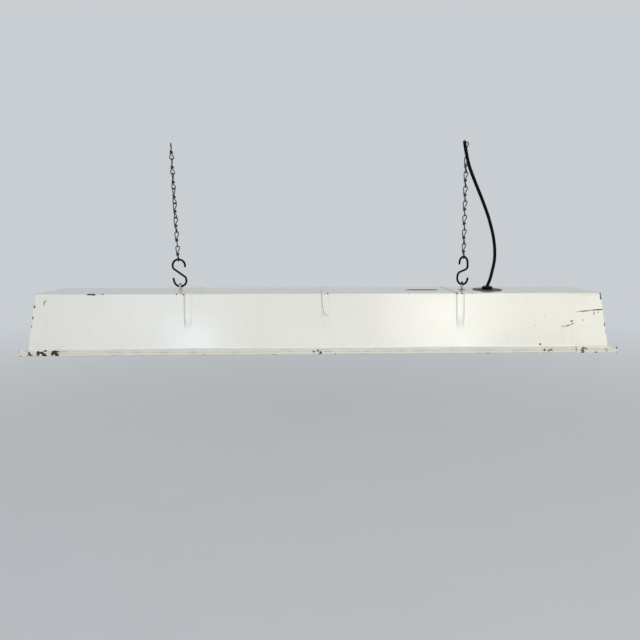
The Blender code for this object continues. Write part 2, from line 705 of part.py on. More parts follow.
# ------------------------------------------------------------ inside the hood
def terminal_block():
    """A bar under the top plate with three towers pointing down."""
    front, rear = BLOCK_Y
    step, low = UNDER_TOP - BLOCK_STEP, UNDER_TOP - BLOCK_LOW
    outline = [(front, UNDER_TOP), (rear, UNDER_TOP), (rear, step)]
    for k in range(3):
        middle = rear - FIRST_TOWER - TOWER_PITCH * k
        near, far = middle + TOWER_HALF, middle - TOWER_HALF
        outline += [(near, step), (near, low), (far, low), (far, step)]
    outline.append((front, step))
    finish("terminal_block", skin([[(x, y, z) for y, z in outline] for x in BLOCK_X]), BLOCK)


def lamp_bracket(tag, lamp_x):
    """A strip folded down from the top plate and up again."""
    reach, web, inner = BRACKET_REACH, BRACKET_WEB, BRACKET_WEB - BRACKET_T
    foot_top, foot_low = UNDER_TOP, UNDER_TOP - BRACKET_T
    web_top = BRACKET_Z + BRACKET_T
    outline = [(-reach, foot_top), (-inner, foot_top), (-inner, web_top), (inner, web_top),
               (inner, foot_top), (reach, foot_top), (reach, foot_low), (web, foot_low),
               (web, BRACKET_Z), (-web, BRACKET_Z), (-web, foot_low), (-reach, foot_low)]
    bracket = finish("lamp_bracket_" + tag,
                     skin([[(lamp_x + x, y, z) for x, z in outline]
                           for y in (-BRACKET_HALF_W, BRACKET_HALF_W)]), BRACKET)
    hole = cylinder(lamp_x, BRACKET_HOLE_R, BRACKET_Z - 2, BRACKET_Z + 4, 12)
    boolean(bracket, finish("bracket_hole_" + tag, hole, BRACKET), "DIFFERENCE")


def lampholder(tag, lamp_x):
    """Porcelain holder with a nipple up through the bracket."""
    top, low, socket_top = HOLDER_TOP, HOLDER_LOW, BULB_TOP + 7.0
    profile = [
        (0, top + 6.0), (4.9, top + 6.0), (4.9, top), (15.5, top), (19.5, top - 3.0),
        (20.5, top - 15.0), (HOLDER_R - 1.2, top - 17.5), (HOLDER_R, top - 20.0),
        (HOLDER_R, low + 1.0), (HOLDER_R - 1.0, low), (15.2, low), (15.2, socket_top),
        (0, socket_top),
    ]
    finish("lampholder_" + tag, turned(profile, 16, lamp_x), PORCELAIN, smooth=35)


def threaded_shell(tag, lamp_x):
    inner, outer = 13.7, 14.8
    low, high = HOLDER_LOW + 3.0, BULB_TOP + 5.5
    profile = [(inner, low), (outer, low), (outer, high), (inner, high)]
    finish("threaded_shell_" + tag, turned_ring(profile, 16, lamp_x), BRASS, smooth=40)


def centre_contact(tag, lamp_x):
    low, high = BULB_TOP + GAP, BULB_TOP + 6.6
    profile = [(0, low), (3.2, low), (4.6, BULB_TOP + 3.4), (4.6, high), (0, high)]
    finish("centre_contact_" + tag, turned(profile, 10, lamp_x), CONTACT, smooth=40)


def bulb_cap(tag, lamp_x):
    """An open cup with rolled threads."""
    crest, root = 13.2, 12.3
    # radius, depth below the contact's tip
    profile = [(0, 0.0), (4.2, 0.0), (4.8, 1.6), (9.0, 4.4)]
    for depth in (7.0, 14.2):
        profile += [(crest, depth), (root, depth + 3.6)]
    rim = BULB_TOP - CAP_LOW
    profile += [(crest, 21.0), (crest, rim), (12.6, rim), (11.6, 21.0), (11.6, 7.0),
                (8.0, 5.4), (0, 5.4)]
    bm = turned([(radius, BULB_TOP - depth) for radius, depth in profile], 16, lamp_x)
    finish("bulb_cap_" + tag, bm, CAP, origin=(lamp_x, 0, BULB_TOP), smooth=40)


def bulb_glass(tag, lamp_x):
    """Round end, shoulder drawn in to the neck, stem inside the cap."""
    bottom = BULB_TOP - BULB_LEN
    profile = [(0, bottom)]
    for k in range(1, 7):
        angle = math.radians(-90 + 20 * k)
        profile.append((BULB_R * math.cos(angle), bottom + BULB_R + BULB_R * math.sin(angle)))
    ball_r, ball_z = profile[-1]
    neck_z = CAP_LOW - 0.4
    for k in range(1, 4):
        part = k / 4
        ease = part ** 2 * (3 - 2 * part)
        profile.append((ball_r + (NECK_R - ball_r) * ease ** 0.9,
                        ball_z + (neck_z - ball_z) * part))
    profile += [(NECK_R, neck_z), (11.8, neck_z + 0.05), (11.1, BULB_TOP - 20.0),
                (11.1, BULB_TOP - 7.4), (0, BULB_TOP - 6.0)]
    finish("bulb_glass_" + tag, turned(profile, 16, lamp_x), OPAL,
           origin=(lamp_x, 0, BULB_TOP), smooth=60)


def lamp_wire(tag, lamp_x):
    """One sleeved pair from the terminal block to a holder."""
    x, y = WIRE_START[tag]
    way = 1 if lamp_x > x else -1
    bends = [(lamp_x - way * 30, y, WIRE_Z), (lamp_x - way * 14, y + 3, WIRE_Z),
             (lamp_x - way * 4, -27, WIRE_Z - 0.2), (lamp_x, -18.4, WIRE_Z - 1.6),
             (lamp_x, -16.6, BRACKET_Z + 0.1)]
    path = [(x, y, WIRE_Z), (x + way * 8, y, WIRE_Z)] + smooth_path(bends, 6.0)
    finish("lamp_wire_" + tag, sweep(path, WIRE_R, 6), WIRE, smooth=40)


# -------------------------------------------------------------------- build
hood_body()
for end_name, end_x in (("left", -1), ("right", 1)):
    end_cap("end_cap_" + end_name, end_x)
    for wall_name, wall_side in (("front", -1), ("back", 1)):
        rim_corner("rim_corner_%s_%s" % (wall_name, end_name), end_x, wall_side)

for side_name in SIDES:
    for build in (eye_bolt, eye_washer, eye_nut, s_hook, chain):
        build(side_name)

for build in (cable_entry_disc, gland_body, gland_dome_nut, gland_seal, gland_locknut,
              mains_cable, terminal_block):
    build()

for lamp_name, lamp_centre in LAMP_X.items():
    for build in (lamp_bracket, lampholder, threaded_shell, centre_contact, bulb_cap,
                  bulb_glass, lamp_wire):
        build(lamp_name, lamp_centre)
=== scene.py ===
import json
import math
import random
from types import SimpleNamespace

import bpy
import bmesh
from mathutils import Matrix, Vector, noise

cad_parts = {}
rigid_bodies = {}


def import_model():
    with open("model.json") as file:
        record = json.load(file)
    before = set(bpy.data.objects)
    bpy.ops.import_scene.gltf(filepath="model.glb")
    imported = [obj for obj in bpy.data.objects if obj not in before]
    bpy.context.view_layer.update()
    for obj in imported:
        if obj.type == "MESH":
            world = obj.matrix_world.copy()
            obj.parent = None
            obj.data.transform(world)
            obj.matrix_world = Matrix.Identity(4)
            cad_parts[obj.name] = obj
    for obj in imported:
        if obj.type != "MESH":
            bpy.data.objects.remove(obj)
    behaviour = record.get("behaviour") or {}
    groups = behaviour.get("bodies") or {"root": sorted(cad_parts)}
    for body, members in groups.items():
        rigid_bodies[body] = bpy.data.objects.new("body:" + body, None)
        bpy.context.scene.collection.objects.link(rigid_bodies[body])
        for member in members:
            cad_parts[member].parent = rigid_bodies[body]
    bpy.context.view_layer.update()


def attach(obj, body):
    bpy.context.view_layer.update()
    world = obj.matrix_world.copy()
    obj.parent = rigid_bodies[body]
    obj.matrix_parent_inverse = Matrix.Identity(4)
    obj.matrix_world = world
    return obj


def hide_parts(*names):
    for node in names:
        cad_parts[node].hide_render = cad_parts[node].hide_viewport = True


for old in list(bpy.data.objects):
    bpy.data.objects.remove(old, do_unlink=True)

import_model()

MM = 0.001
random.seed(41)

# ---------------------------------------------------------------- hood sizes
LENGTH, WIDTH, HEIGHT = 1500.0, 225.0, 150.0
SHEET = 1.0                       # thickness of the steel
GAP = 0.3                         # clearance between neighbouring pieces
RIM_H, RIM_OUT = 14.0, 16.5       # height of the rim, and how far it stands out
WALL_LEAN = 20.0                  # how far a wall leans in from foot to top
HEM, HEM_H = 2.4, 7.0             # depth and height of the folded hem
FOOT_X, FOOT_Y = LENGTH / 2 - RIM_OUT, WIDTH / 2 - RIM_OUT
TOP_Y = FOOT_Y - WALL_LEAN
LIP_Y = WIDTH / 2 - SHEET - GAP
WALL_H = HEIGHT - RIM_H
SLOPE = math.hypot(WALL_LEAN, WALL_H)
LEAN_ANGLE = math.atan2(WALL_LEAN, WALL_H)
ABOVE_TOP = HEIGHT + GAP          # seat of a piece standing on the top
UNDER_TOP = HEIGHT - SHEET - GAP  # seat of a piece held under the top
BEAD_X = (-338.0, 7.0, 351.0)     # pressed ribs
SLOT_X, SLOT_L, SLOT_W = 270.0, 88.0, 28.0
CORNER_LAP, CORNER_TOP, RETURN = 77.0, 11.0, 28.0
ENTRY_X = 447.0                   # cable entry
EYE_X = {"left": -374.0, "right": 378.0}


# ================================================================ mesh help
def smoothstep(share):
    share = max(0.0, min(1.0, share))
    return share * share * (3 - 2 * share)


def ripple(*at):
    return noise.noise(Vector(at))


def lean_in(z):
    """How far a wall has leaned in at a height."""
    return WALL_LEAN * max(0.0, z - RIM_H) / WALL_H


def wall_x(z):
    return FOOT_X - lean_in(z)


def wall_y(z):
    return FOOT_Y - lean_in(z)


def sheet_wave(point):
    """How far pressed and enamelled sheet strays from true."""
    x, y, z = point
    broad = ripple(x / 170.0, z / 90.0, 3.1)
    fine = ripple(x / 70.0 + 5.0, z / 60.0, 9.4)
    lift = ripple(x / 210.0, y / 110.0, 17.7)
    along = ripple(y / 60.0, z / 60.0, 27.3)
    stiff = 0.35 + 0.65 * smoothstep((abs(z - HEIGHT) - 2.0) / 30.0)
    across = (0.42 * broad + 0.12 * fine) * stiff * (1 if y < 0 else -1)
    return Vector((0.22 * along, across, 0.16 * lift))


def add_object(name, data):
    ob = bpy.data.objects.new(name, data)
    bpy.context.scene.collection.objects.link(ob)
    return ob


def to_mesh(name, bm):
    mesh = bpy.data.meshes.new(name)
    bm.to_mesh(mesh)
    bm.free()
    return mesh


def show(name, bm, slot, node=None, body="lamp", angle=32.0, materials=None, wave=False):
    """A bmesh in mm becomes a shown piece riding on a body."""
    if wave:
        for vert in bm.verts:
            vert.co += sheet_wave(vert.co)
    bmesh.ops.transform(bm, matrix=Matrix.Scale(MM, 4), verts=bm.verts)
    mesh = to_mesh(name, bm)
    for material in materials or FINISH[slot]:
        mesh.materials.append(material)
    mesh.shade_smooth()
    mesh.set_sharp_from_angle(angle=math.radians(angle))
    ob = add_object(name, mesh)
    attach(ob, body)
    if node:
        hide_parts(node)


def recalc(bm):
    bmesh.ops.recalc_face_normals(bm, faces=bm.faces)
    return bm


def loft(rows, ring=False, capped=True, poles=None):
    """Skin through rows of points: a ring, or closed by end faces or fans to two poles."""
    bm = bmesh.new()
    rows = [[bm.verts.new(p) for p in row] for row in rows]
    count = len(rows[0])
    for near, far in zip(rows, rows[1:] + (rows[:1] if ring else [])):
        for k in range(count):
            after = (k + 1) % count
            bm.faces.new((near[k], near[after], far[after], far[k]))
    if poles:
        for pole, row in zip(poles, (rows[0], rows[-1])):
            tip = bm.verts.new(pole)
            for k in range(count):
                bm.faces.new((tip, row[k], row[(k + 1) % count]))
    elif capped and not ring:
        bm.faces.new(rows[0][::-1])
        bm.faces.new(rows[-1])
    return bm


def circle(x, y, radius, count, turn=0.0):
    angles = (2 * math.pi * k / count + turn for k in range(count))
    return [(x + radius * math.cos(a), y + radius * math.sin(a)) for a in angles]


def prism(outline, low, high):
    return loft([[(x, y, z) for x, y in outline] for z in (low, high)])


def slab(quad, thick):
    """A four-cornered plate thickened along a vector."""
    corners = [Vector(p) for p in quad]
    return loft([corners, [p + Vector(thick) for p in corners]])


def merged(parts, operation="UNION"):
    """Boolean of several closed bmeshes into one body, as a new bmesh."""
    obs = []
    for i, bm in enumerate(parts):
        obs.append(add_object("tmp_%d" % i, to_mesh("tmp_%d" % i, recalc(bm))))
    base = obs[0]
    for other in obs[1:]:
        boolean = base.modifiers.new(other.name, "BOOLEAN")
        boolean.operation = operation
        boolean.solver = "EXACT"
        boolean.object = other
    bpy.context.view_layer.update()
    depsgraph = bpy.context.evaluated_depsgraph_get()
    out = bmesh.new()
    out.from_mesh(base.evaluated_get(depsgraph).to_mesh())
    for ob in obs:
        mesh = ob.data
        bpy.data.objects.remove(ob, do_unlink=True)
        bpy.data.meshes.remove(mesh)
    return out


def tube(path, radius, sides, closed=False, round_end=0.6, wobble=0.0, seed=0.0):
    """Round wire along a path.  The radius may be a function of the path share."""
    points = [Vector(p) for p in path]
    count = len(points)
    radius_at = radius if callable(radius) else (lambda share: radius)
    tangents = []
    for i in range(count):
        if closed:
            before, after = points[i - 1], points[(i + 1) % count]
        else:
            before, after = points[max(i - 1, 0)], points[min(i + 1, count - 1)]
        tangents.append((after - before).normalized())
    side = tangents[0].orthogonal().normalized()
    frames = []
    for i, tangent in enumerate(tangents):
        if i:
            side = tangents[i - 1].rotation_difference(tangent) @ side
            side = (side - tangent * side.dot(tangent)).normalized()
        frames.append((side.copy(), tangent.cross(side)))

    def section(centre, frame, size, index):
        out = []
        for k in range(sides):
            angle = 2 * math.pi * k / sides
            reach = size
            if wobble:
                reach += wobble * ripple(index * 0.31 + seed, math.cos(angle) * 0.9,
                                         math.sin(angle) * 0.9)
            out.append(centre + reach * (math.cos(angle) * frame[0] + math.sin(angle) * frame[1]))
        return out

    def end_cap(at, way, shares):
        """Sections swelling from the tip (share 0) towards the full wire."""
        size = radius_at(-at)
        return [section(points[at] + way * tangents[at] * (round_end * size * (1 - share)),
                        frames[at], size * math.sqrt(max(0.02, 1 - (1 - share) ** 2 * 0.55)),
                        -at * count) for share in shares]

    rows = [section(points[i], frames[i], radius_at(i / (count - 1)), i) for i in range(count)]
    if round_end and not closed:
        rows = end_cap(0, -1, (0.0, 0.45, 0.8)) + rows + end_cap(-1, 1, (0.8, 0.45, 0.0))
    return recalc(loft(rows, ring=closed))


def turned(profile, segments, x, y=0.0, ring=False, wobble=0.0):
    """Solid of revolution of (radius, z) points about an upright axis."""
    bm = bmesh.new()
    rows = []
    for radius, z in profile:
        if radius < 1e-6:
            rows.append([bm.verts.new((x, y, z))])
            continue
        row = []
        for k in range(segments):
            cos, sin = math.cos(2 * math.pi * k / segments), math.sin(2 * math.pi * k / segments)
            reach = radius + (wobble * ripple(cos * 1.3, sin * 1.3, z * 0.1) if wobble else 0)
            row.append(bm.verts.new((x + reach * cos, y + reach * sin, z)))
        rows.append(row)
    for near, far in zip(rows, rows[1:] + (rows[:1] if ring else [])):
        for k in range(segments):
            after = (k + 1) % segments
            if len(near) == 1:
                bm.faces.new((near[0], far[after], far[k]))
            elif len(far) == 1:
                bm.faces.new((near[k], near[after], far[0]))
            else:
                bm.faces.new((near[k], near[after], far[after], far[k]))
    return recalc(bm)


def rounded(profile, radius, steps=3, closed=False):
    """Round the corners of a 2-D line."""
    points = [Vector(p) for p in profile]
    count = len(points)
    out = []
    for i, corner in enumerate(points):
        if not closed and i in (0, count - 1):
            out.append(tuple(corner))
            continue
        back, ahead = points[i - 1] - corner, points[(i + 1) % count] - corner
        cut = min(radius, 0.45 * back.length, 0.45 * ahead.length)
        start, end = corner + back.normalized() * cut, corner + ahead.normalized() * cut
        for k in range(steps + 1):
            t = k / steps
            p = start * (1 - t) ** 2 + corner * 2 * t * (1 - t) + end * t * t
            out.append((p.x, p.y))
    return out


def smooth_path(points, step):
    """Catmull-Rom curve through the points."""
    knots = [Vector(p) for p in points]
    knots = [2 * knots[0] - knots[1]] + knots + [2 * knots[-1] - knots[-2]]
    out = [knots[1]]
    for i in range(1, len(knots) - 2):
        a, b, c, d = knots[i - 1:i + 3]
        count = max(1, round((c - b).length / step))
        for k in range(1, count + 1):
            t = k / count
            out.append(0.5 * (2 * b + (c - a) * t + (2 * a - 5 * b + 4 * c - d) * t * t
                              + (3 * b - a - 3 * c + d) * t ** 3))
    return out


def fillet_line(corners, radii, steps, arc=6):
    """Polyline with rounded corners, as (u, v, normal u, normal v) with the normal on the
    left of the direction of travel.  steps: spacing on each straight."""
    points = [Vector(p) for p in corners]
    last = len(points) - 1
    cuts = [(0.0, 0.0)]   # length cut from each straight, angle turned
    for i in range(1, last):
        along = (points[i] - points[i - 1]).normalized()
        ahead = (points[i + 1] - points[i]).normalized()
        angle = math.acos(max(-1, min(1, along.dot(ahead))))
        cuts.append((radii[i] * math.tan(angle / 2), angle))
    cuts.append((0.0, 0.0))
    out = []
    for i in range(last):
        along = (points[i + 1] - points[i]).normalized()
        start = points[i] + along * cuts[i][0]
        end = points[i + 1] - along * cuts[i + 1][0]
        normal = Vector((-along.y, along.x))
        count = max(1, round((end - start).length / steps[i]))
        for k in range(count + 1):
            out.append((*start.lerp(end, k / count), *normal))
        if i + 1 < last:
            ahead = (points[i + 2] - points[i + 1]).normalized()
            inward = normal * (1 if along.x * ahead.y - along.y * ahead.x > 0 else -1)
            radius, angle = radii[i + 1], cuts[i + 1][1]
            for k in range(1, arc):
                a = angle * k / arc
                p = end + radius * (math.sin(a) * along + (1 - math.cos(a)) * inward)
                way = along * math.cos(a) + inward * math.sin(a)
                out.append((p.x, p.y, -way.y, way.x))
    clean = [out[0]]
    for p in out[1:]:
        if (Vector(p[:2]) - Vector(clean[-1][:2])).length > 1e-4:
            clean.append(p)
    return clean


# ================================================================ materials
class Material:
    """Small helper that keeps node trees readable."""

    def __init__(self, name):
        self.data = bpy.data.materials.new(name)
        self.data.use_nodes = True
        self.tree = self.data.node_tree
        self.tree.nodes.clear()
        self.out = self.node("OutputMaterial")
        self.bsdf = self.node("BsdfPrincipled")
        self.tree.links.new(self.bsdf.outputs[0], self.out.inputs[0])
        self.co = self.node("TexCoord").outputs["Object"]

    def node(self, kind):
        return self.tree.nodes.new("ShaderNode" + kind)

    def put(self, socket, value):
        if isinstance(value, bpy.types.NodeSocket):
            self.tree.links.new(value, socket)
        elif isinstance(value, (tuple, list)) and len(value) == 3 and socket.type == "RGBA":
            socket.default_value = (*value, 1.0)
        else:
            socket.default_value = value

    def set(self, **values):
        for key, value in values.items():
            self.put(self.bsdf.inputs[key.replace("_", " ")], value)

    def math(self, operation, first, second=0.0, clamp=False):
        node = self.node("Math")
        node.operation = operation
        node.use_clamp = clamp
        self.put(node.inputs[0], first)
        self.put(node.inputs[1], second)
        return node.outputs[0]

    def times(self, first, second, clamp=False):
        return self.math("MULTIPLY", first, second, clamp)

    def plus(self, first, second):
        return self.math("ADD", first, second)

    def minus(self, first, second):
        return self.math("SUBTRACT", first, second)

    def larger(self, first, second):
        return self.math("MAXIMUM", first, second)

    def above(self, value, limit):
        return self.math("GREATER_THAN", value, limit)

    def size(self, value):
        return self.math("ABSOLUTE", value)

    def band(self, value, at, near, far, amount=1.0):
        """The full amount within `near` of a value, nothing beyond `far`."""
        return self.ramp(self.size(self.minus(value, at)), start=near, end=far,
                         low=amount, high=0.0)

    def vector_math(self, operation, first, second=None):
        node = self.node("VectorMath")
        node.operation = operation
        self.put(node.inputs[0], first)
        if operation == "SCALE":
            self.put(node.inputs["Scale"], second)
        elif second is not None:
            self.put(node.inputs[1], second)
        return node.outputs["Value" if operation == "LENGTH" else "Vector"]

    def noise(self, scale, detail=3.0, rough=0.5, colour=False, stretch=None):
        co = self.co
        if stretch is not None:
            mapping = self.node("Mapping")
            self.put(mapping.inputs["Vector"], co)
            mapping.inputs["Scale"].default_value = stretch
            co = mapping.outputs[0]
        node = self.node("TexNoise")
        self.put(node.inputs["Vector"], co)
        node.inputs["Scale"].default_value = scale
        node.inputs["Detail"].default_value = detail
        node.inputs["Roughness"].default_value = rough
        return node.outputs["Color"] if colour else node.outputs[0]

    def specks(self, scale, size):
        """1 at the heart of scattered cells, fading out at a size."""
        node = self.node("TexVoronoi")
        self.put(node.inputs["Vector"], self.co)
        node.inputs["Scale"].default_value = scale
        return self.ramp(node.outputs["Distance"], start=0.0, end=size, low=1.0, high=0.0)

    def ramp(self, value, start, end, low=0.0, high=1.0):
        """Smooth change from low to high while the value goes from start to end."""
        node = self.node("MapRange")
        node.interpolation_type = "SMOOTHSTEP"
        self.put(node.inputs["Value"], value)
        node.inputs["From Min"].default_value = start
        node.inputs["From Max"].default_value = end
        node.inputs["To Min"].default_value = low
        node.inputs["To Max"].default_value = high
        return node.outputs[0]

    def mix(self, share, under, over):
        node = self.node("Mix")
        node.data_type = "RGBA"
        node.blend_type = "MIX"
        self.put(node.inputs[0], share)
        self.put(node.inputs[6], under)
        self.put(node.inputs[7], over)
        return node.outputs[2]

    def mix_value(self, share, under, over):
        node = self.node("Mix")
        node.data_type = "FLOAT"
        self.put(node.inputs[0], share)
        self.put(node.inputs[2], under)
        self.put(node.inputs[3], over)
        return node.outputs[0]

    def xyz(self, vector=None):
        node = self.node("SeparateXYZ")
        self.put(node.inputs[0], self.co if vector is None else vector)
        return node.outputs[0], node.outputs[1], node.outputs[2]

    def patches(self, co, rows):
        """Distance to the nearest ellipsoid patch, 1 on its edge."""
        turned_co, nearest = {0.0: co}, None
        for row in rows:
            centre, radii, turn = row[:3], row[3:6], row[6] if len(row) > 6 else 0.0
            if turn not in turned_co:
                node = self.node("VectorRotate")
                node.rotation_type = "Y_AXIS"
                self.put(node.inputs["Vector"], co)
                node.inputs["Angle"].default_value = -math.radians(turn)
                turned_co[turn] = node.outputs[0]
            centre = Matrix.Rotation(-math.radians(turn), 3, "Y") @ Vector(centre)
            node = self.node("VectorMath")
            node.operation = "MULTIPLY_ADD"
            self.put(node.inputs[0], turned_co[turn])
            node.inputs[1].default_value = [1.0 / (r * MM) for r in radii]
            node.inputs[2].default_value = [-c / r for c, r in zip(centre, radii)]
            distance = self.vector_math("LENGTH", node.outputs[0])
            nearest = distance if nearest is None else self.math("MINIMUM", nearest, distance)
        return nearest

    def bump(self, height, distance, strength=1.0, normal=None):
        node = self.node("Bump")
        node.inputs["Strength"].default_value = strength
        node.inputs["Distance"].default_value = distance
        self.put(node.inputs["Height"], height)
        if normal is not None:
            self.put(node.inputs["Normal"], normal)
        return node.outputs[0]


# Patches in the enamel are (x, y, z, radius x, radius y, radius z, turn about Y in degrees);
# the turn may be left out.  On the front they are listed as (x, z, radius x, radius z, turn).
def front_wall(*rows):
    return [(x, -wall_y(z), z, wide, 6.0, tall, *turn) for x, z, wide, tall, *turn in rows]


def front_lip(*rows):
    return [(x, -WIDTH / 2, z, wide, 5.0, tall, *turn) for x, z, wide, tall, *turn in rows]


# where the enamel has flaked to its dark ground coat
DARK = front_wall(
    (-580.5, 149.0, 7.5, 2.0, -8), (-571.5, 147.8, 5.5, 2.2, -6), (-547.9, 148.8, 2.2, 1.0),
    (-366.2, 148.2, 1.5, 1.3), (-349.4, 148.0, 2.2, 1.6), (343.2, 148.8, 3.0, 1.5),
    (354.2, 148.8, 4.0, 1.6), (5.6, 148.6, 1.6, 1.0), (12.8, 148.8, 2.4, 1.5),
    (218.2, 148.6, 1.6, 1.0), (382.1, 148.2, 1.8, 1.1), (-717.2, 119.2, 2.8, 3.6),
    (-721.6, 91.4, 2.6, 3.4), (-724.8, 71.0, 1.7, 2.4), (713.6, 146.4, 2.6, 5.2),
    (714.8, 138.2, 2.8, 6.8), (725.4, 68.8, 2.2, 4.6), (557.6, 19.6, 2.4, 2.6),
    (543.7, 68.0, 1.2, 1.1), (668.4, 80.0, 1.4, 1.2), (638.4, 77.6, 4.2, 1.4, -18),
    (569.5, 90.6, 1.0, 0.9),
) + front_lip(
    (-701.0, 7.6, 4.2, 6.6, 20), (-692.0, 8.6, 4.8, 3.9), (-686.5, 3.6, 6.6, 4.4, 25),
    (-684.0, 13.4, 4.8, 1.6), (-661.5, 10.2, 8.2, 4.8, -15), (-656.5, 4.2, 5.8, 5.0, 30),
    (-667.0, 5.2, 4.0, 3.4), (-651.5, 11.6, 2.6, 2.6), (-633.8, 12.4, 1.6, 1.2),
) + [
    (-750.5, -112.0, 12.5, 4.0, 4.0, 2.2),
] + front_lip(
    (-731.0, 14.2, 3.0, 1.2), (-745.0, 1.0, 3.0, 1.4), (-23.7, 7.9, 2.0, 2.8),
    (-12.5, 10.0, 2.4, 3.2), (-6.0, 4.8, 3.6, 3.0, 30), (-9.5, 0.5, 3.0, 1.8),
    (31.0, 1.0, 2.6, 1.2), (561.6, 7.8, 1.9, 3.6), (572.6, 6.4, 3.4, 1.7, 20),
    (578.6, 8.0, 4.4, 1.7, 15), (660.4, 12.4, 5.4, 2.1), (659.0, 6.9, 4.8, 2.0),
    (659.9, 2.0, 4.8, 1.9), (668.4, 11.4, 2.4, 2.0), (643.2, 7.0, 0.8, 4.4),
    (717.5, 9.0, 0.8, 3.4, 20), (694.3, 1.2, 3.2, 1.8), (721.9, 5.0, 0.9, 2.8),
    (746.7, 12.7, 3.6, 1.8), (747.9, 1.0, 2.6, 1.6), (737.0, 13.4, 2.0, 0.9),
    (417.0, 0.4, 5.0, 1.0), (390.0, 0.4, 3.2, 0.9), (540.0, 0.6, 3.4, 0.9),
    (-120.0, 0.4, 5.2, 0.9), (-295.9, 1.0, 2.4, 1.0), (-517.0, 1.2, 1.8, 1.2),
    (98.0, 0.5, 3.2, 0.9),
) + [
    # back rim and edges
    (-598.0, 112.0, 6.0, 6.5, 5.0, 5.0), (-676.0, 112.0, 11.0, 4.0, 5.0, 3.0),
    (-212.0, 112.0, 2.0, 9.0, 5.0, 2.5), (140.0, 112.0, 12.5, 3.0, 5.0, 2.0),
    (418.0, 112.0, 4.0, 4.0, 5.0, 4.0), (702.0, 112.0, 8.0, 5.0, 5.0, 6.0),
    (-410.0, 76.0, 148.8, 7.0, 4.0, 1.6), (196.0, 76.0, 149.0, 4.0, 4.0, 1.4),
    (552.0, 82.0, 108.0, 2.0, 4.0, 3.0), (-716.0, 80.0, 128.0, 2.6, 4.0, 5.0),
    (717.5, 78.0, 134.0, 2.6, 4.0, 6.0),
    # ends: rims, top edges and panels
    (-750.0, -48.0, 11.0, 5.0, 5.0, 3.4), (-750.0, 22.0, 2.0, 5.0, 8.0, 2.4),
    (-750.0, 96.0, 9.0, 5.0, 4.0, 4.5), (750.0, -70.0, 3.0, 5.0, 6.5, 3.0),
    (750.0, 8.0, 12.0, 5.0, 4.0, 2.2), (750.0, 84.0, 6.0, 5.0, 5.0, 5.0),
    (-714.5, 30.0, 148.6, 4.0, 6.0, 1.6), (714.0, -34.0, 148.6, 4.0, 5.0, 1.6),
    (-721.0, -12.0, 96.0, 5.0, 2.0, 2.4), (724.0, 36.0, 62.0, 5.0, 2.4, 3.0),
]
# patches gone through to brown rust
RUST = front_lip(
    (-722.5, 6.0, 3.6, 6.2, -12), (-716.5, 1.8, 3.2, 2.4), (-727.5, 1.5, 2.2, 2.2),
    (-703.5, 2.2, 2.6, 2.2), (-654.5, 1.2, 3.0, 1.6), (-19.8, 6.6, 1.4, 1.7),
) + front_wall(
    (696.9, 97.4, 1.4, 4.0), (708.0, 99.5, 1.0, 2.0),
) + [
    (-608.0, 112.0, 1.5, 7.0, 5.0, 2.2), (706.0, 112.0, 1.2, 6.0, 5.0, 2.0),
    (750.0, 90.0, 1.4, 5.0, 5.0, 2.2), (-750.0, 100.0, 3.0, 5.0, 4.0, 3.0),
]
# long thin scratches
SCRATCH = front_wall(
    (672.5, 102.8, 17.5, 1.3, -5.5), (704.5, 105.8, 19.5, 1.7, -4.0),
    (-692.4, 127.0, 1.25, 7.2, 6), (-689.0, 132.8, 3.2, 1.1, -20), (-695.5, 128.5, 1.8, 0.7),
    (614.6, 65.0, 2.2, 1.4, 0), (627.0, 65.4, 9.0, 1.5, -16), (640.5, 70.6, 6.0, 1.1, -24),
    (-2.0, 140.5, 0.65, 8.5, -3), (-1.2, 127.0, 0.7, 8.0, -3), (-0.2, 116.6, 0.7, 6.5, -6),
    (3.0, 106.0, 0.7, 6.4, -22), (8.2, 96.8, 0.6, 5.4, -42), (2.2, 100.5, 0.5, 8.5, -6),
) + [
    (-300.0, 88.0, 70.0, 26.0, 4.0, 0.6, -9), (330.0, 90.0, 46.0, 18.0, 4.0, 0.6, 12),
    (725.0, -20.0, 60.0, 5.0, 0.8, 14.0), (-724.0, 34.0, 74.0, 5.0, 0.8, 18.0),
    (-140.0, -20.0, 150.0, 22.0, 0.6, 3.0), (520.0, 12.0, 150.0, 14.0, 0.7, 3.0),
]
# painted shade lines beside the pressed ribs: (x, strength)
WALL_SHADE_LINES = ((-345.2, 0.46), (16.4, 0.10), (341.6, 0.16), (360.6, 0.16))
TOP_SHADE_LINES = ((-2.6, 0.62), (340.4, 0.62))
TOP_FROM = 0.1492    # object height in metres above which the flat top counts


def coat_colour(mat, base, fine):
    """Soft unevenness of the coat: clouds, fine mottling and upright streaks."""
    cloud = mat.noise(scale=4.0)
    streak = mat.noise(scale=1.0, detail=4.0, rough=0.6, stretch=(46.0, 46.0, 5.0))
    colour = mat.mix(mat.ramp(cloud, start=0.3, end=0.7), tuple(c * 0.965 for c in base),
                     tuple(min(1, c * 1.02) for c in base))
    colour = mat.mix(mat.ramp(fine, start=0.52, end=0.8, high=0.16), colour, (0.66, 0.62, 0.52))
    return mat.mix(mat.ramp(streak, start=0.55, end=0.82, high=0.14), colour, (0.60, 0.555, 0.45))


def painted_crease_shade(mat, z):
    """Painted shade in the foot fold, in the crease over the hem and along the bottom edge, in
    patches.
    """
    foot = mat.band(z, at=0.0121, near=0.0005, far=0.0014)
    fold = mat.band(z, at=0.0074, near=0.0004, far=0.0013)
    hem = mat.band(z, at=0.0008, near=0.0004, far=0.0030)
    patch = mat.ramp(mat.noise(scale=34.0, detail=4.0, rough=0.6), start=0.36, end=0.66)
    patch = mat.plus(mat.times(patch, 0.6), 0.4)
    crease_shade = mat.plus(mat.times(foot, 0.62), mat.times(hem, 0.50))
    return mat.times(mat.plus(crease_shade, mat.times(fold, 0.80)), patch, clamp=True)


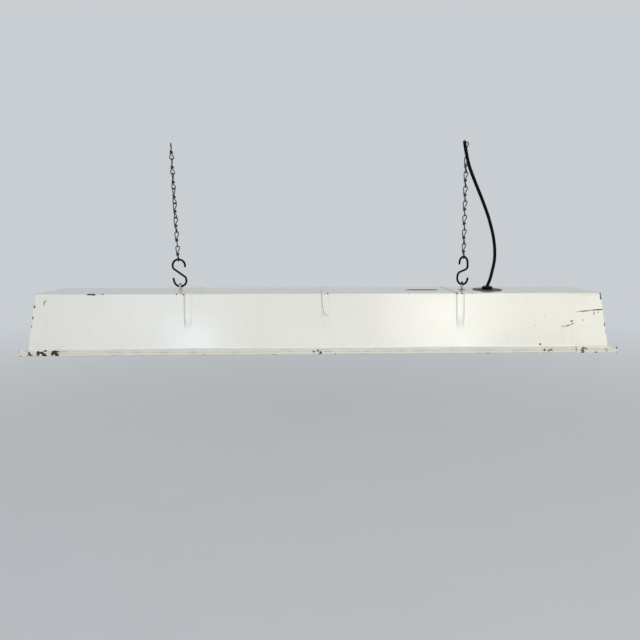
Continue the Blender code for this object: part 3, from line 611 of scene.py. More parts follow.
def painted_rib_and_slot_shade(mat, x, y, z):
    """Painted shade lines along the pressed ribs and round the slot's edge."""
    dirt_and_shade = None
    for at, amount in WALL_SHADE_LINES:
        line = mat.band(x, at=at / 1000.0, near=0.0007, far=0.0022, amount=amount)
        dirt_and_shade = line if dirt_and_shade is None else mat.larger(dirt_and_shade, line)
    dirt_and_shade = mat.times(dirt_and_shade, mat.ramp(z, start=0.052, end=0.085))
    on_top = mat.above(z, TOP_FROM)
    for at, amount in TOP_SHADE_LINES:
        line = mat.band(x, at=at / 1000.0, near=0.0010, far=0.0026, amount=amount)
        dirt_and_shade = mat.larger(dirt_and_shade, mat.times(line, on_top))
    dirt_and_shade = mat.times(dirt_and_shade, mat.ramp(mat.noise(scale=70.0), start=0.3, end=0.6, low=0.6))
    # painted shade round the slot's edge on the top
    past = mat.minus(mat.size(mat.minus(x, SLOT_X / 1000.0)), (SLOT_L - SLOT_W) / 2000.0)
    past = mat.larger(past, 0.0)
    reach = mat.math("SQRT", mat.plus(mat.times(past, past), mat.times(y, y)))
    edge = mat.band(reach, at=SLOT_W / 2000.0, near=0.0006, far=0.0034, amount=0.8)
    return mat.larger(dirt_and_shade, mat.times(edge, mat.above(z, 0.1485)))


def edge_nicks(mat, x, y, z):
    """Little nicks along the upright corner edges and the rim's bottom edge."""
    lean = mat.times(mat.minus(z, RIM_H * MM), WALL_LEAN / WALL_H)
    half_x = mat.minus(FOOT_X * MM, lean)
    edge = mat.band(mat.size(x), at=half_x, near=0.0008, far=0.0034)
    edge = mat.times(edge, mat.above(z, 0.016))
    half_y = mat.minus(half_x, (FOOT_X - FOOT_Y) / 1000.0)
    edge = mat.times(edge, mat.band(mat.size(y), at=half_y, near=0.0025, far=0.0055))
    rim = mat.ramp(z, start=0.0008, end=0.0032, low=1.0, high=0.0)
    where = mat.larger(mat.times(edge, 0.95), mat.times(rim, 0.86))
    nick = mat.times(where, mat.noise(scale=60.0, detail=5.0, rough=0.72))
    return mat.ramp(nick, start=0.575, end=0.60)


def flaked(mat, colour, x, y, z):
    """Lay flakes, rust and scratches over a colour.  Returns the colour and the mask."""
    def wander(co, scale, amount):
        push = mat.noise(scale=scale, rough=0.6, colour=True)
        push = mat.vector_math("SUBTRACT", push, (0.5, 0.5, 0.5))
        return mat.vector_math("ADD", co, mat.vector_math("SCALE", push, amount))

    ragged = wander(wander(mat.co, scale=240.0, amount=0.0052), scale=1100.0, amount=0.0022)
    thin = wander(wander(mat.co, scale=150.0, amount=0.0030), scale=1500.0, amount=0.0011)
    to_dark = mat.patches(ragged, DARK)
    to_rust = mat.patches(ragged, RUST)
    to_line = mat.patches(thin, SCRATCH)
    dark = mat.ramp(to_dark, start=0.86, end=1.04, low=1.0, high=0.0)
    rust = mat.ramp(to_rust, start=0.80, end=1.06, low=1.0, high=0.0)
    line = mat.ramp(to_line, start=0.70, end=1.05, low=1.0, high=0.0)
    line = mat.times(line, mat.ramp(mat.noise(scale=420.0, detail=2.0), start=0.30, end=0.44))
    nick = edge_nicks(mat, x, y, z)
    flake = mat.larger(mat.larger(dark, nick), mat.larger(rust, line))
    ground = mat.mix(mat.ramp(mat.noise(scale=300.0, detail=4.0, rough=0.6), start=0.42, end=0.66),
                     (0.012, 0.010, 0.009), (0.070, 0.036, 0.020))
    brown = mat.mix(mat.ramp(mat.noise(scale=380.0, detail=4.0, rough=0.65), start=0.36, end=0.66),
                    (0.060, 0.024, 0.010), (0.26, 0.125, 0.045))
    inner = mat.mix(mat.larger(rust, mat.times(line, 0.55)), ground, brown)
    # stained halo round each flake
    halo = mat.larger(mat.ramp(to_dark, start=1.0, end=1.55, low=1.0, high=0.0),
                      mat.larger(mat.ramp(to_rust, start=1.0, end=1.9, low=1.0, high=0.0),
                                 mat.ramp(to_line, start=1.0, end=2.4, low=0.8, high=0.0)))
    stain = mat.noise(scale=190.0, detail=4.0, rough=0.7)
    stain = mat.times(halo, mat.ramp(stain, start=0.44, end=0.68, high=0.60))
    colour = mat.mix(stain, colour, (0.40, 0.29, 0.17))
    return mat.mix(flake, colour, inner), flake


def enamel(name, base, inside=False):
    """Vitreous enamel on pressed steel, flaked at its rims and edges."""
    mat = Material(name)
    x, y, z = mat.xyz()
    fine = mat.noise(scale=60.0, detail=4.0, rough=0.55)
    colour = coat_colour(mat, base, fine)
    crease_shade = painted_crease_shade(mat, z)
    on_top = mat.above(z, TOP_FROM)
    # partly painted shade on the upright lip, which gets less light than the leaning wall, partly
    # a yellower tone of the lip
    colour = mat.mix(mat.ramp(z, start=0.0125, end=0.0138, low=0.13, high=0.0), colour,
                     (0.54, 0.49, 0.34))
    # painted shade on the left of the top, painted highlight on the rim's shelf
    shade = mat.times(on_top, mat.ramp(x, start=-0.74, end=-0.36, low=0.24, high=0.0))
    colour = mat.mix(shade, colour, (0.30, 0.315, 0.36))
    shelf = mat.band(z, at=0.0149, near=0.0013, far=0.0022, amount=0.85)
    colour = mat.mix(shelf, colour, (0.97, 0.955, 0.915))
    # painted shade along the rim's folds, the crease over the hem and the bottom edge
    colour = mat.mix(crease_shade, colour, (0.34, 0.30, 0.235))
    # painted shade beside the ribs and round the slot
    colour = mat.mix(painted_rib_and_slot_shade(mat, x, y, z), colour, (0.30, 0.285, 0.25))
    if inside:
        # painted shade high on the inside of the back wall, seen through the slot, darkened nearly
        # to black
        painted_inner_shade = mat.times(mat.ramp(y, start=0.068, end=0.074), mat.ramp(z, start=0.122, end=0.138))
        colour = mat.mix(mat.times(painted_inner_shade, 0.9), colour, (0.055, 0.047, 0.038))
    dust = mat.ramp(mat.noise(scale=11.0, detail=2.0), start=0.56, end=0.66)
    dust = mat.times(mat.specks(scale=95.0, size=0.055), dust)
    colour = mat.mix(mat.times(dust, 0.55), colour, (0.20, 0.16, 0.11))
    colour, flake = flaked(mat, colour, x, y, z)
    if inside:
        rough = mat.ramp(fine, start=0.2, end=0.8, low=0.30, high=0.44)
    else:
        gloss = mat.ramp(mat.noise(scale=9.0, detail=4.0, rough=0.6), start=0.3, end=0.75,
                         low=0.16, high=0.27)
        gloss = mat.mix_value(on_top, gloss, mat.times(gloss, 0.42))
        gloss = mat.plus(gloss, mat.times(crease_shade, 0.35))
        rough = mat.mix_value(flake, gloss, 0.82)
    normal = mat.bump(mat.noise(scale=330.0, detail=2.0), distance=0.000035, strength=0.55)
    normal = mat.bump(mat.noise(scale=42.0, detail=2.0), distance=0.00016, strength=0.5,
                      normal=normal)
    grain = mat.times(mat.times(flake, mat.noise(scale=900.0)), 0.5)
    normal = mat.bump(mat.plus(mat.times(flake, -1.0), grain), distance=0.00035, strength=0.9,
                      normal=normal)
    mat.set(Base_Color=colour, Roughness=rough, Normal=normal, IOR=1.5, Coat_Roughness=0.07,
            Coat_Weight=mat.times(mat.minus(1.0, flake), 0.0 if inside else 0.25))
    return mat.data


def metal(name, base, dirt_and_shade, rough, metallic=1.0, rust=0.0, scale=240.0, dirt_amount=0.6,
          spec=0.5):
    """Wire, plate and fixings: handled metal with dull and stained patches."""
    mat = Material(name)
    stains = mat.noise(scale=scale, detail=4.0, rough=0.6)
    wear = mat.noise(scale=scale * 0.22, rough=0.55)
    grain = mat.noise(scale=scale * 4.0, rough=0.6)
    colour = mat.mix(mat.times(mat.ramp(stains, start=0.35, end=0.68), dirt_amount), base, dirt_and_shade)
    colour = mat.mix(mat.times(mat.ramp(wear, start=0.38, end=0.64), 0.35), colour,
                     tuple(min(1, c * 1.5 + 0.01) for c in base))
    if rust:
        rusted = mat.ramp(mat.plus(mat.times(stains, 0.5), mat.times(wear, 0.5)),
                          start=0.60 - 0.28 * rust, end=0.70 - 0.24 * rust)
        rust_colour = mat.mix(mat.ramp(grain, start=0.35, end=0.7),
                              (0.055, 0.022, 0.011), (0.21, 0.095, 0.04))
        colour = mat.mix(rusted, colour, rust_colour)
        metallic = mat.mix_value(rusted, metallic, 0.05)
        dull = mat.ramp(stains, start=0.3, end=0.7, low=rough * 0.8, high=rough * 1.25)
        dull = mat.mix_value(rusted, dull, 0.86)
    else:
        dull = mat.ramp(stains, start=0.3, end=0.7, low=rough * 0.78, high=rough * 1.3)
    normal = mat.bump(grain, distance=0.00006, strength=0.6)
    normal = mat.bump(stains, distance=0.00018, strength=0.6, normal=normal)
    mat.set(Base_Color=colour, Metallic=metallic, Roughness=dull, Normal=normal,
            Specular_IOR_Level=spec)
    return mat.data


def plastic(name, base, other, rough, scale=300.0, dust=0.0, spec=0.5):
    """Two-toned plastic; dust lies on what faces up."""
    mat = Material(name)
    mottle = mat.noise(scale=scale, detail=4.0, rough=0.6)
    colour = mat.mix(mat.ramp(mat.noise(scale=scale * 0.12), start=0.35, end=0.7), base, other)
    if dust:
        up = mat.xyz(mat.node("NewGeometry").outputs["Normal"])[2]
        lying = mat.times(mat.ramp(up, start=0.2, end=1.0),
                          mat.ramp(mottle, start=0.35, end=0.7, low=0.2))
        colour = mat.mix(mat.times(lying, dust), colour, (0.30, 0.28, 0.25))
    mat.set(Base_Color=colour, Specular_IOR_Level=spec,
            Roughness=mat.ramp(mottle, start=0.3, end=0.7, low=rough * 0.85, high=rough * 1.2),
            Normal=mat.bump(mat.noise(scale=scale * 4.0, detail=2.0), distance=0.00004,
                            strength=0.5))
    return mat.data


def porcelain():
    mat = Material("porcelain")
    cloud = mat.noise(scale=26.0, detail=4.0, rough=0.55)
    specks = mat.times(mat.specks(scale=260.0, size=0.06),
                       mat.ramp(mat.noise(scale=40.0, detail=2.0), start=0.55, end=0.7))
    colour = mat.mix(mat.ramp(cloud, start=0.3, end=0.75), (0.86, 0.85, 0.80), (0.80, 0.78, 0.71))
    colour = mat.mix(mat.times(specks, 0.6), colour, (0.25, 0.18, 0.12))
    mat.set(Base_Color=colour, Coat_Weight=0.6, Coat_Roughness=0.04,
            Roughness=mat.ramp(cloud, start=0.3, end=0.7, low=0.10, high=0.20),
            Normal=mat.bump(mat.noise(scale=120.0, detail=2.0), distance=0.00012, strength=0.5))
    return mat.data


def opal():
    mat = Material("opal_glass")
    cloud = mat.noise(scale=30.0)
    z = mat.xyz()[2]
    colour = mat.mix(mat.ramp(cloud, start=0.3, end=0.7), (0.88, 0.88, 0.85), (0.83, 0.83, 0.79))
    dust = mat.ramp(mat.noise(scale=420.0, detail=4.0, rough=0.7), start=0.55, end=0.75)
    dust = mat.times(dust, mat.ramp(z, start=0.040, end=0.085))
    colour = mat.mix(mat.times(dust, 0.35), colour, (0.52, 0.49, 0.43))
    mat.set(Base_Color=colour, Coat_Weight=0.35, Coat_Roughness=0.05,
            Roughness=mat.ramp(cloud, start=0.3, end=0.7, low=0.12, high=0.22),
            Subsurface_Weight=0.35, Subsurface_Radius=(0.006, 0.006, 0.005), Subsurface_Scale=1.0,
            Normal=mat.bump(mat.noise(scale=200.0, detail=2.0), distance=0.00003, strength=0.4))
    return mat.data


def cable_sheath():
    """Black flexible sheath: faint lay of the cores and scuffs."""
    mat = Material("cable_sheath")
    mottle = mat.noise(scale=160.0, detail=4.0, rough=0.6)
    scuff = mat.noise(scale=1.0, detail=4.0, rough=0.6, stretch=(260.0, 260.0, 60.0))
    scuff = mat.ramp(scuff, start=0.60, end=0.76)
    colour = mat.mix(mat.ramp(mottle, start=0.35, end=0.7), (0.0024, 0.0024, 0.0026),
                     (0.0044, 0.0044, 0.0047))
    colour = mat.mix(mat.times(scuff, 0.20), colour, (0.016, 0.016, 0.017))
    lay = mat.node("TexWave")
    lay.bands_direction = "Z"
    lay.inputs["Scale"].default_value = 22.0
    lay.inputs["Distortion"].default_value = 1.4
    normal = mat.bump(lay.outputs["Fac"], distance=0.00012, strength=0.22)
    normal = mat.bump(mat.noise(scale=900.0, detail=2.0), distance=0.00004, strength=0.5,
                      normal=normal)
    mat.set(Base_Color=colour, Normal=normal, Specular_IOR_Level=0.07,
            Roughness=mat.ramp(mottle, start=0.3, end=0.7, low=0.46, high=0.62))
    return mat.data


def painted_eye(name, worn_from, worn_to, chip_from):
    """Cream-painted eye, rubbed bare from one height (m) to another, and chipped."""
    mat = Material(name)
    z = mat.xyz()[2]
    chips = mat.noise(scale=300.0, detail=4.0, rough=0.65)
    grain = mat.noise(scale=1200.0, rough=0.6)
    ragged = mat.plus(z, mat.times(mat.minus(chips, 0.5), 0.010))
    worn = mat.larger(mat.ramp(ragged, start=worn_from, end=worn_to),
                      mat.ramp(chips, start=chip_from, end=chip_from + 0.06))
    steel = mat.mix(mat.ramp(grain, start=0.4, end=0.6), (0.018, 0.014, 0.012),
                    (0.10, 0.055, 0.03))
    cream = mat.mix(mat.ramp(chips, start=0.3, end=0.6), (0.74, 0.71, 0.62), (0.55, 0.51, 0.42))
    normal = mat.bump(grain, distance=0.00006, strength=0.6)
    mat.set(Base_Color=mat.mix(worn, cream, steel), Roughness=mat.mix_value(worn, 0.34, 0.62),
            Metallic=mat.mix_value(worn, 0.0, 0.5),
            Normal=mat.bump(mat.times(worn, -1.0), distance=0.00018, strength=0.8,
                            normal=normal))
    return mat.data


ENAMEL = enamel("enamel_cream", base=(0.835, 0.801, 0.676))
ENAMEL_INSIDE = enamel("enamel_white_inside", base=(0.86, 0.86, 0.82), inside=True)
# the materials of each slot
FINISH = {
    "enamelled_steel": [ENAMEL, ENAMEL_INSIDE],
    "blackened_steel": [metal(
        "blackened_steel", base=(0.0036, 0.0036, 0.0038), dirt_and_shade=(0.002, 0.002, 0.002),
        rough=0.50, metallic=0.25, scale=180.0, spec=0.10)],
    "galvanised_wire": [metal(
        "galvanised_wire", base=(0.070, 0.069, 0.067), dirt_and_shade=(0.012, 0.0115, 0.011),
        rough=0.46, metallic=0.9, rust=0.15, scale=320.0, dirt_amount=0.8, spec=0.3)],
    "grey_zinc_disc": [metal(
        "grey_zinc_disc", base=(0.092, 0.087, 0.080), dirt_and_shade=(0.036, 0.033, 0.029),
        rough=0.44, metallic=0.75, scale=90.0, spec=0.3)],
    "zinc_plated_steel": [metal(
        "zinc_plate", base=(0.52, 0.52, 0.50), dirt_and_shade=(0.24, 0.22, 0.19), rough=0.36,
        rust=0.12, scale=130.0, dirt_amount=0.5)],
    "brass": [metal(
        "brass", base=(0.78, 0.56, 0.24), dirt_and_shade=(0.30, 0.19, 0.08), rough=0.28,
        scale=160.0, dirt_amount=0.45)],
    "bulb_cap_metal": [metal(
        "bulb_cap_metal", base=(0.74, 0.73, 0.70), dirt_and_shade=(0.40, 0.38, 0.34), rough=0.26,
        scale=160.0, dirt_amount=0.4)],
    "black_nylon": [plastic(
        "black_nylon", base=(0.0030, 0.0030, 0.0033), other=(0.0055, 0.0055, 0.0058),
        rough=0.36, scale=260.0, dust=0.03, spec=0.12)],
    "black_rubber": [plastic(
        "black_rubber", base=(0.014, 0.014, 0.014), other=(0.026, 0.025, 0.024),
        rough=0.75, scale=400.0)],
    "wire_sleeve": [plastic(
        "wire_sleeve", base=(0.016, 0.016, 0.017), other=(0.030, 0.030, 0.031),
        rough=0.48, scale=500.0)],
    "terminal_plastic": [plastic(
        "terminal_plastic", base=(0.68, 0.67, 0.62), other=(0.74, 0.73, 0.69),
        rough=0.42, scale=220.0, dust=0.1)],
    "porcelain": [porcelain()],
    "opal_glass": [opal()],
    "cable_sheath": [cable_sheath()],
    "painted_eye": [painted_eye("painted_eye", worn_from=0.1660, worn_to=0.1685, chip_from=0.60)],
    "rusty_steel": [painted_eye("worn_eye", worn_from=0.1630, worn_to=0.1655, chip_from=0.50)],
}
COPPER = metal("copper_strands", base=(0.80, 0.40, 0.22), dirt_and_shade=(0.45, 0.20, 0.10), rough=0.34,
               scale=900.0)

# ================================================================= the hood
EYE_HOLE_R, ENTRY_HOLE_R = 2.8, 8.3
HEM_OUT = 0.75           # how far the folded hem stands out of the lip
BEAD_REACH = 12.4        # half the length of hood meshed finely round a rib


def bead_rise(offset, down):
    """Rise of a pressed rib: flat crown, short flanks, dying out down the wall."""
    if down is None or abs(offset) > 12.0:
        return 0.0
    fade = smoothstep((94.0 - down) / 40.0)
    half = 9.6 - 2.6 * (1 - fade)
    flank = smoothstep((half + 1.6 - abs(offset)) / 3.4)
    return 1.9 * fade * flank * (1.0 - 0.10 * (offset / 10.0) ** 2)


def hem_depth(z):
    return SHEET + (HEM - SHEET) * smoothstep((HEM_H + 0.5 - z) / 0.9)


def hem_push(z):
    """How far the folded hem stands out of the lip, with the crease above it."""
    return HEM_OUT * smoothstep((7.3 - z) / 0.9) - 0.35 * math.exp(-((z - 7.9) / 0.45) ** 2)


def hem_round(side):
    """Half circle closing a hem, from the outer face to the inner one."""
    out = []
    for k in range(1, 6):
        angle = math.pi * k / 6
        y = side * (HEM / 2 * (1 - math.cos(angle)) - LIP_Y)
        z = HEM / 2 - HEM / 2 * math.sin(angle)
        out.append((y, z, 0, 0, None, -side * HEM_OUT * (1 + math.cos(angle)) / 2))
    return out


def hood_section():
    """Front hem, outer face, back hem and inner face, in order round the section.
    Columns: y, z, normal y, normal z, way down the wall or None, push along y."""
    corners = [(-LIP_Y, HEM / 2), (-LIP_Y, RIM_H), (-FOOT_Y, RIM_H), (-TOP_Y, HEIGHT),
               (TOP_Y, HEIGHT), (FOOT_Y, RIM_H), (LIP_Y, RIM_H), (LIP_Y, HEM / 2)]
    outer, inner = [], []
    for y, z, out_y, out_z in fillet_line(corners, radii=[0, 2.6, 1.8, 2.8, 2.8, 1.8, 2.6, 0],
                                          steps=[1.0, 5.0, 5.0, 8.0, 5.0, 5.0, 1.0]):
        in_lip = abs(abs(y) - LIP_Y) < 0.05 and z < RIM_H - 2
        depth = hem_depth(z) if in_lip else SHEET
        if z <= RIM_H + 1.0:
            down = None
        elif z > HEIGHT - 0.01:
            down = 0.0
        else:
            down = max(0.0, (HEIGHT - z) * SLOPE / WALL_H)
        push = hem_push(z) * (1 if y > 0 else -1) if in_lip else 0.0
        outer.append((y, z, out_y, out_z, down, push))
        inner.append((y - depth * out_y, z - depth * out_z, out_y, out_z, down, 0.0))
    return hem_round(1)[::-1], outer, hem_round(-1), inner[::-1]


def stepped(start, stop, step):
    while start <= stop:
        yield start
        start += step


def hood_stations():
    """(end, value): x itself where end is 0, else the distance in from that end."""
    xs = [bead + k for bead in BEAD_X for k in stepped(-BEAD_REACH, BEAD_REACH + 0.01, 0.775)]
    xs += [x for x in stepped(-698.0, 698.0, 13.96) if all(abs(x - b) > 13.5 for b in BEAD_X)]
    return ([(-1, 0.0), (-1, 0.35), (-1, 2.0)] + [(0, x) for x in sorted(xs)]
            + [(1, 2.0), (1, 0.35), (1, 0.0)])


def slot_outline():
    out = []
    for side, start in ((1, -90), (-1, 90)):
        for k in range(17):
            angle = math.radians(start + 180.0 * k / 16)
            out.append((SLOT_X + side * (SLOT_L - SLOT_W) / 2 + SLOT_W / 2 * math.cos(angle),
                        SLOT_W / 2 * math.sin(angle)))
    return out


def build_hood():
    front_hem, outer, back_hem, inner = hood_section()
    section = front_hem + outer + back_hem + inner
    count = len(section)
    first_outer = len(front_hem)
    first_back = first_outer + len(outer)
    first_inner = first_back + len(back_hem)
    rows = []
    for end, value in hood_stations():
        row = []
        for i, (y, z, out_y, out_z, down, push) in enumerate(section):
            rise = 0.0
            if end:
                x = end * (wall_x(z) - value)
                if value == 0.0:   # ease the cut edge
                    rise = 0.3 if i >= first_inner else -0.3
            else:
                x = value
                nearest = min(BEAD_X, key=lambda bead: abs(bead - x))
                rise = bead_rise(x - nearest, down)
            push *= smoothstep((666.0 - abs(x)) / 8.0)
            row.append((x, y + push + rise * out_y, z + rise * out_z))
        rows.append(row)
    bm = loft(rows, capped=False)
    for i, face in enumerate(bm.faces):
        if first_inner <= i % count < count - 1:
            face.material_index = 1
    verts = list(bm.verts)
    for row, flip in ((verts[:count], True), (verts[-count:], False)):
        out, inn = row[first_outer:first_back], row[first_inner:][::-1]
        faces = [(out[k], out[k + 1], inn[k + 1], inn[k]) for k in range(len(out) - 1)]
        faces.append((inn[0], *row[:first_outer], out[0]))
        faces.append((out[-1], *row[first_back:first_inner], inn[-1]))
        for face in faces:
            bm.faces.new(face[::-1] if flip else face)
    recalc(bm)
    holes = [circle(x, 0.0, radius, 40) for x, radius in (
        (EYE_X["left"], EYE_HOLE_R), (EYE_X["right"], EYE_HOLE_R), (ENTRY_X, ENTRY_HOLE_R))]
    cutters = [prism(hole, HEIGHT - 6, HEIGHT + 6) for hole in holes + [slot_outline()]]
    show("hood_shell", merged([bm] + cutters, "DIFFERENCE"), "enamelled_steel", "hood_body",
         angle=36, wave=True)


def lip_section(share):
    """(depth, z) round an end lip; the share runs from a plain plate to a full hem."""
    radius = 0.45 + 2.0 * share
    hem = SHEET + (HEM - SHEET) * share
    shelf = SHEET + 1.9 * share
    out = [(hem / 2 - hem / 2 * math.cos(math.pi * k / 6),
            hem / 2 - hem / 2 * math.sin(math.pi * k / 6)) for k in range(6, -1, -1)]
    out += [(0.0, z) for z in (3.0, 5.0, 7.0, 9.0, 11.0)]
    for k in range(7):
        angle = math.pi / 2 * k / 6
        out.append((radius - radius * math.cos(angle), RIM_H - radius + radius * math.sin(angle)))
    return out + [(shelf, RIM_H), (shelf, RIM_H - SHEET), (SHEET + 0.02, RIM_H - SHEET - 0.02),
                  (SHEET, 10.0), (SHEET, HEM_H + 0.8), (hem, HEM_H - 0.2), (hem, 3.0)]


def end_lip(side):
    """Lip of an end: a U in plan with the boxed returns."""
    half_w, half_l, radius = WIDTH / 2, LENGTH / 2, 3.2
    # x, y, normal x, normal y, share of hem
    corner = [(half_l - RETURN + (RETURN - radius) * k / 6, -half_w, 0, -1, 0.0)
              for k in range(7)]
    for k in range(1, 8):
        angle = math.radians(-90 + 90 * k / 8)
        cos, sin = math.cos(angle), math.sin(angle)
        corner.append((half_l - radius + radius * cos, -half_w + radius + radius * sin,
                       cos, sin, k / 8))
    path = corner + [(half_l, -half_w + radius + (2 * half_w - 2 * radius) * k / 20, 1, 0, 1.0)
                     for k in range(21)]
    path += [(x, -y, out_x, -out_y, share) for x, y, out_x, out_y, share in reversed(corner)]
    return loft([[(side * (x - depth * out_x), y - depth * out_y, z)
                  for depth, z in lip_section(share)] for x, y, out_x, out_y, share in path])


def build_end(hand, side):
    """Leaning end panel, its foot, flange and hemmed lip, boxed at both corners."""
    wall_gap = (SHEET + GAP) / math.cos(LEAN_ANGLE)
    top = UNDER_TOP

    def inner_y(z):
        return wall_y(z) - wall_gap

    def panel_x(z):
        return wall_x(z) - GAP

    # panel: turned in at the top, out at the foot
    corners = [(panel_x(top) - 15.0, top), (panel_x(top), top), (panel_x(RIM_H), RIM_H),
               (panel_x(RIM_H) + 4.0, RIM_H)]
    line = fillet_line(corners, radii=[0, 1.4, 0.9, 0], steps=[5.0, 6.0, 2.0], arc=5)
    ring = [(x, z) for x, z, out_x, out_z in line]
    ring += [(x - SHEET * out_x, z - SHEET * out_z) for x, z, out_x, out_z in reversed(line)]
    rows = []
    for k in range(17):
        row = []
        for x, z in ring:
            half = inner_y(min(max(z, RIM_H), top))
            if z > top - 1.6 and x < panel_x(top) - 0.8:
                half -= 6.0
            row.append((side * x, (-1 + 2 * k / 16) * half, z))
        rows.append(row)
    near, far, half_w = side * (FOOT_X + GAP), side * (LENGTH / 2 - 1.6), WIDTH / 2 - 1.5
    low = RIM_H - SHEET
    shelf = slab([(near, -half_w, low), (far, -half_w, low), (far, half_w, low),
                  (near, half_w, low)], (0, 0, SHEET))
    parts = [loft(rows), end_lip(side), shelf]
    for hem_side in (-1, 1):   # side flanges of the panel
        quad = [(side * (panel_x(z) - inset), hem_side * inner_y(z), z) for z, inset in (
            (RIM_H + 8, 0.5), (RIM_H + 8, 14.0), (top - 8, 14.0), (top - 8, 0.5))]
        parts.append(slab(quad, (0, -hem_side * SHEET, 0)))
    out = merged(parts)
    for face in out.faces:
        facing_in = face.normal.x * side < -0.3 or face.normal.z < -0.5
        face.material_index = 1 if facing_in and face.calc_center_median().z > 3.0 else 0
    show("end_panel_" + hand, out, "enamelled_steel", "end_cap_" + hand, angle=36, wave=True)


def build_corner(place, side_x, side_y):
    """Angle lapped over the end of a long rim, with eased edges."""
    end = LENGTH / 2 - RETURN - GAP
    start = end - CORNER_LAP
    top = RIM_H + GAP + SHEET
    seed = 1.7 * side_x + 3.1 * side_y
    # (depth in from the hood's side, z)
    line = fillet_line([(0.0, 0.4), (0.0, top), (CORNER_TOP, top)], radii=[0, 2.2, 0],
                       steps=[1.6, 1.6])
    ring = [(depth, z) for depth, z, *_ in line]
    ring += [(CORNER_TOP + 0.35, top - 0.3), (CORNER_TOP + 0.35, top - SHEET + 0.3)]
    ring += [(depth - SHEET * out_d, z - SHEET * out_z)
             for depth, z, out_d, out_z in reversed(line)]
    ring += [(0.72, 0.05), (0.28, 0.05)]
    xs = [start, start + 0.3, start + 1.2]
    xs += [start + (end - start) * k / 22 for k in range(1, 22)] + [end - 1.2, end - 0.3, end]
    rows = []
    for x in xs:
        row = []
        for depth, z in ring:
            at = Vector((depth, z))
            if x in (start, end):   # draw the cut edges in towards the sheet's middle
                if z < top - 1.2:
                    middle = Vector((0.5, min(z, top - 0.5)))
                else:
                    middle = Vector((max(depth, 0.5), top - 0.5))
                way = middle - at
                at += way.normalized() * min(0.28, way.length)
            dent = 0.10 * ripple(x / 14.0, z / 9.0 + seed, seed)
            row.append((side_x * x, side_y * (WIDTH / 2 - at.x + dent), at.y))
        rows.append(row)
    show("corner_lap_" + place, recalc(loft(rows)), "enamelled_steel", "rim_corner_" + place,
         angle=40, materials=[ENAMEL], wave=True)


build_hood()
build_end("left", -1)
build_end("right", 1)
for hand, side_x in (("left", -1), ("right", 1)):
    for face, side_y in (("front", -1), ("back", 1)):
        build_corner("%s_%s" % (face, hand), side_x, side_y)

# =============================================================== suspension
EYE_WIRE, HOOK_WIRE = 5.4, 5.4
HOOK_R, HOOK_R2 = 16.2, 12.0    # bow of the hook, and its bend into the middle
HOOK_SHIFT = 1.0
# Eye: outer diameter, top above the hood, turn in degrees.  Hook: half distance between
# bow centres, bend, (stop angle, straight) of the upper and lower tips, turn and twist.
# Chain: turn of each link about its length.
HANGERS = {
    "left": SimpleNamespace(
        x=EYE_X["left"], eye_turn=0.0, eye_d=17.9, eye_top=19.5, eye_slot="painted_eye",
        washer=[ENAMEL], hook_c=19.3, bend=54.0, tips=((-12.0, 0.0), (12.0, 9.5)), turn=0.0,
        twist=0.0, seed=7.0, links=(0, 16, 30, 48, 70, 86, 97, 110)),
    "right": SimpleNamespace(
        x=EYE_X["right"], eye_turn=-25.0, eye_d=21.2, eye_top=22.8, eye_slot="rusty_steel",
        washer=FINISH["rusty_steel"], hook_c=20.8, bend=68.0, tips=((0.0, 4.6), (12.0, 5.8)),
        turn=119.0, twist=-14.0, seed=3.0, links=(-44, -34, -23, -14, -8, -4, 0, 2)),
}
CHAIN_LEAN = -1.2               # degrees
LINK_WIRE, LINK_R, LINK_PITCH = 2.6, 4.8, 36.7
PLAY = 0.4                      # clearance where wires bear on each other
KNOT_R, KNOT_Z, KNOT_RISE = 3.1, 0.4, 2.9
WAIST, WAIST_X = -2.2, -1.2     # place of a link's knot along and across it
LINK_HALF = (LINK_PITCH + LINK_WIRE + PLAY) / 2


def thread_profile(crest, root, start, stop, pitch):
    out, z = [], start
    while z < stop:
        out += [(crest, z), (root, z + pitch / 2)]
        z += pitch
    return out


def hex_nut(x, across, low, high, bore, turn=0.0, chamfer=0.14, grooves=True):
    """Hexagon cut by a turned blank: chamfered corners, threaded bore."""
    radius = across / math.sqrt(3.0)
    hexagon = prism(circle(x, 0, radius, 6, turn), low - 1, high + 1)
    height = high - low
    cut = chamfer * radius * 0.6
    profile = [(bore + 0.35, low), (across / 2 * 0.98, low), (radius + 0.05, low + cut),
               (radius + 0.05, high - cut), (across / 2 * 0.98, high), (bore + 0.35, high)]
    if grooves:
        count = 2 * max(2, int(height / 0.9))
        for i in range(1, count):
            profile.append((bore + (0.30 if i % 2 else 0.0),
                            high - 0.2 - (height - 0.4) * i / count))
    else:
        profile += [(bore, high - 0.3), (bore, low + 0.3)]
    return merged([turned(profile, 48, x, ring=True), hexagon], "INTERSECT")


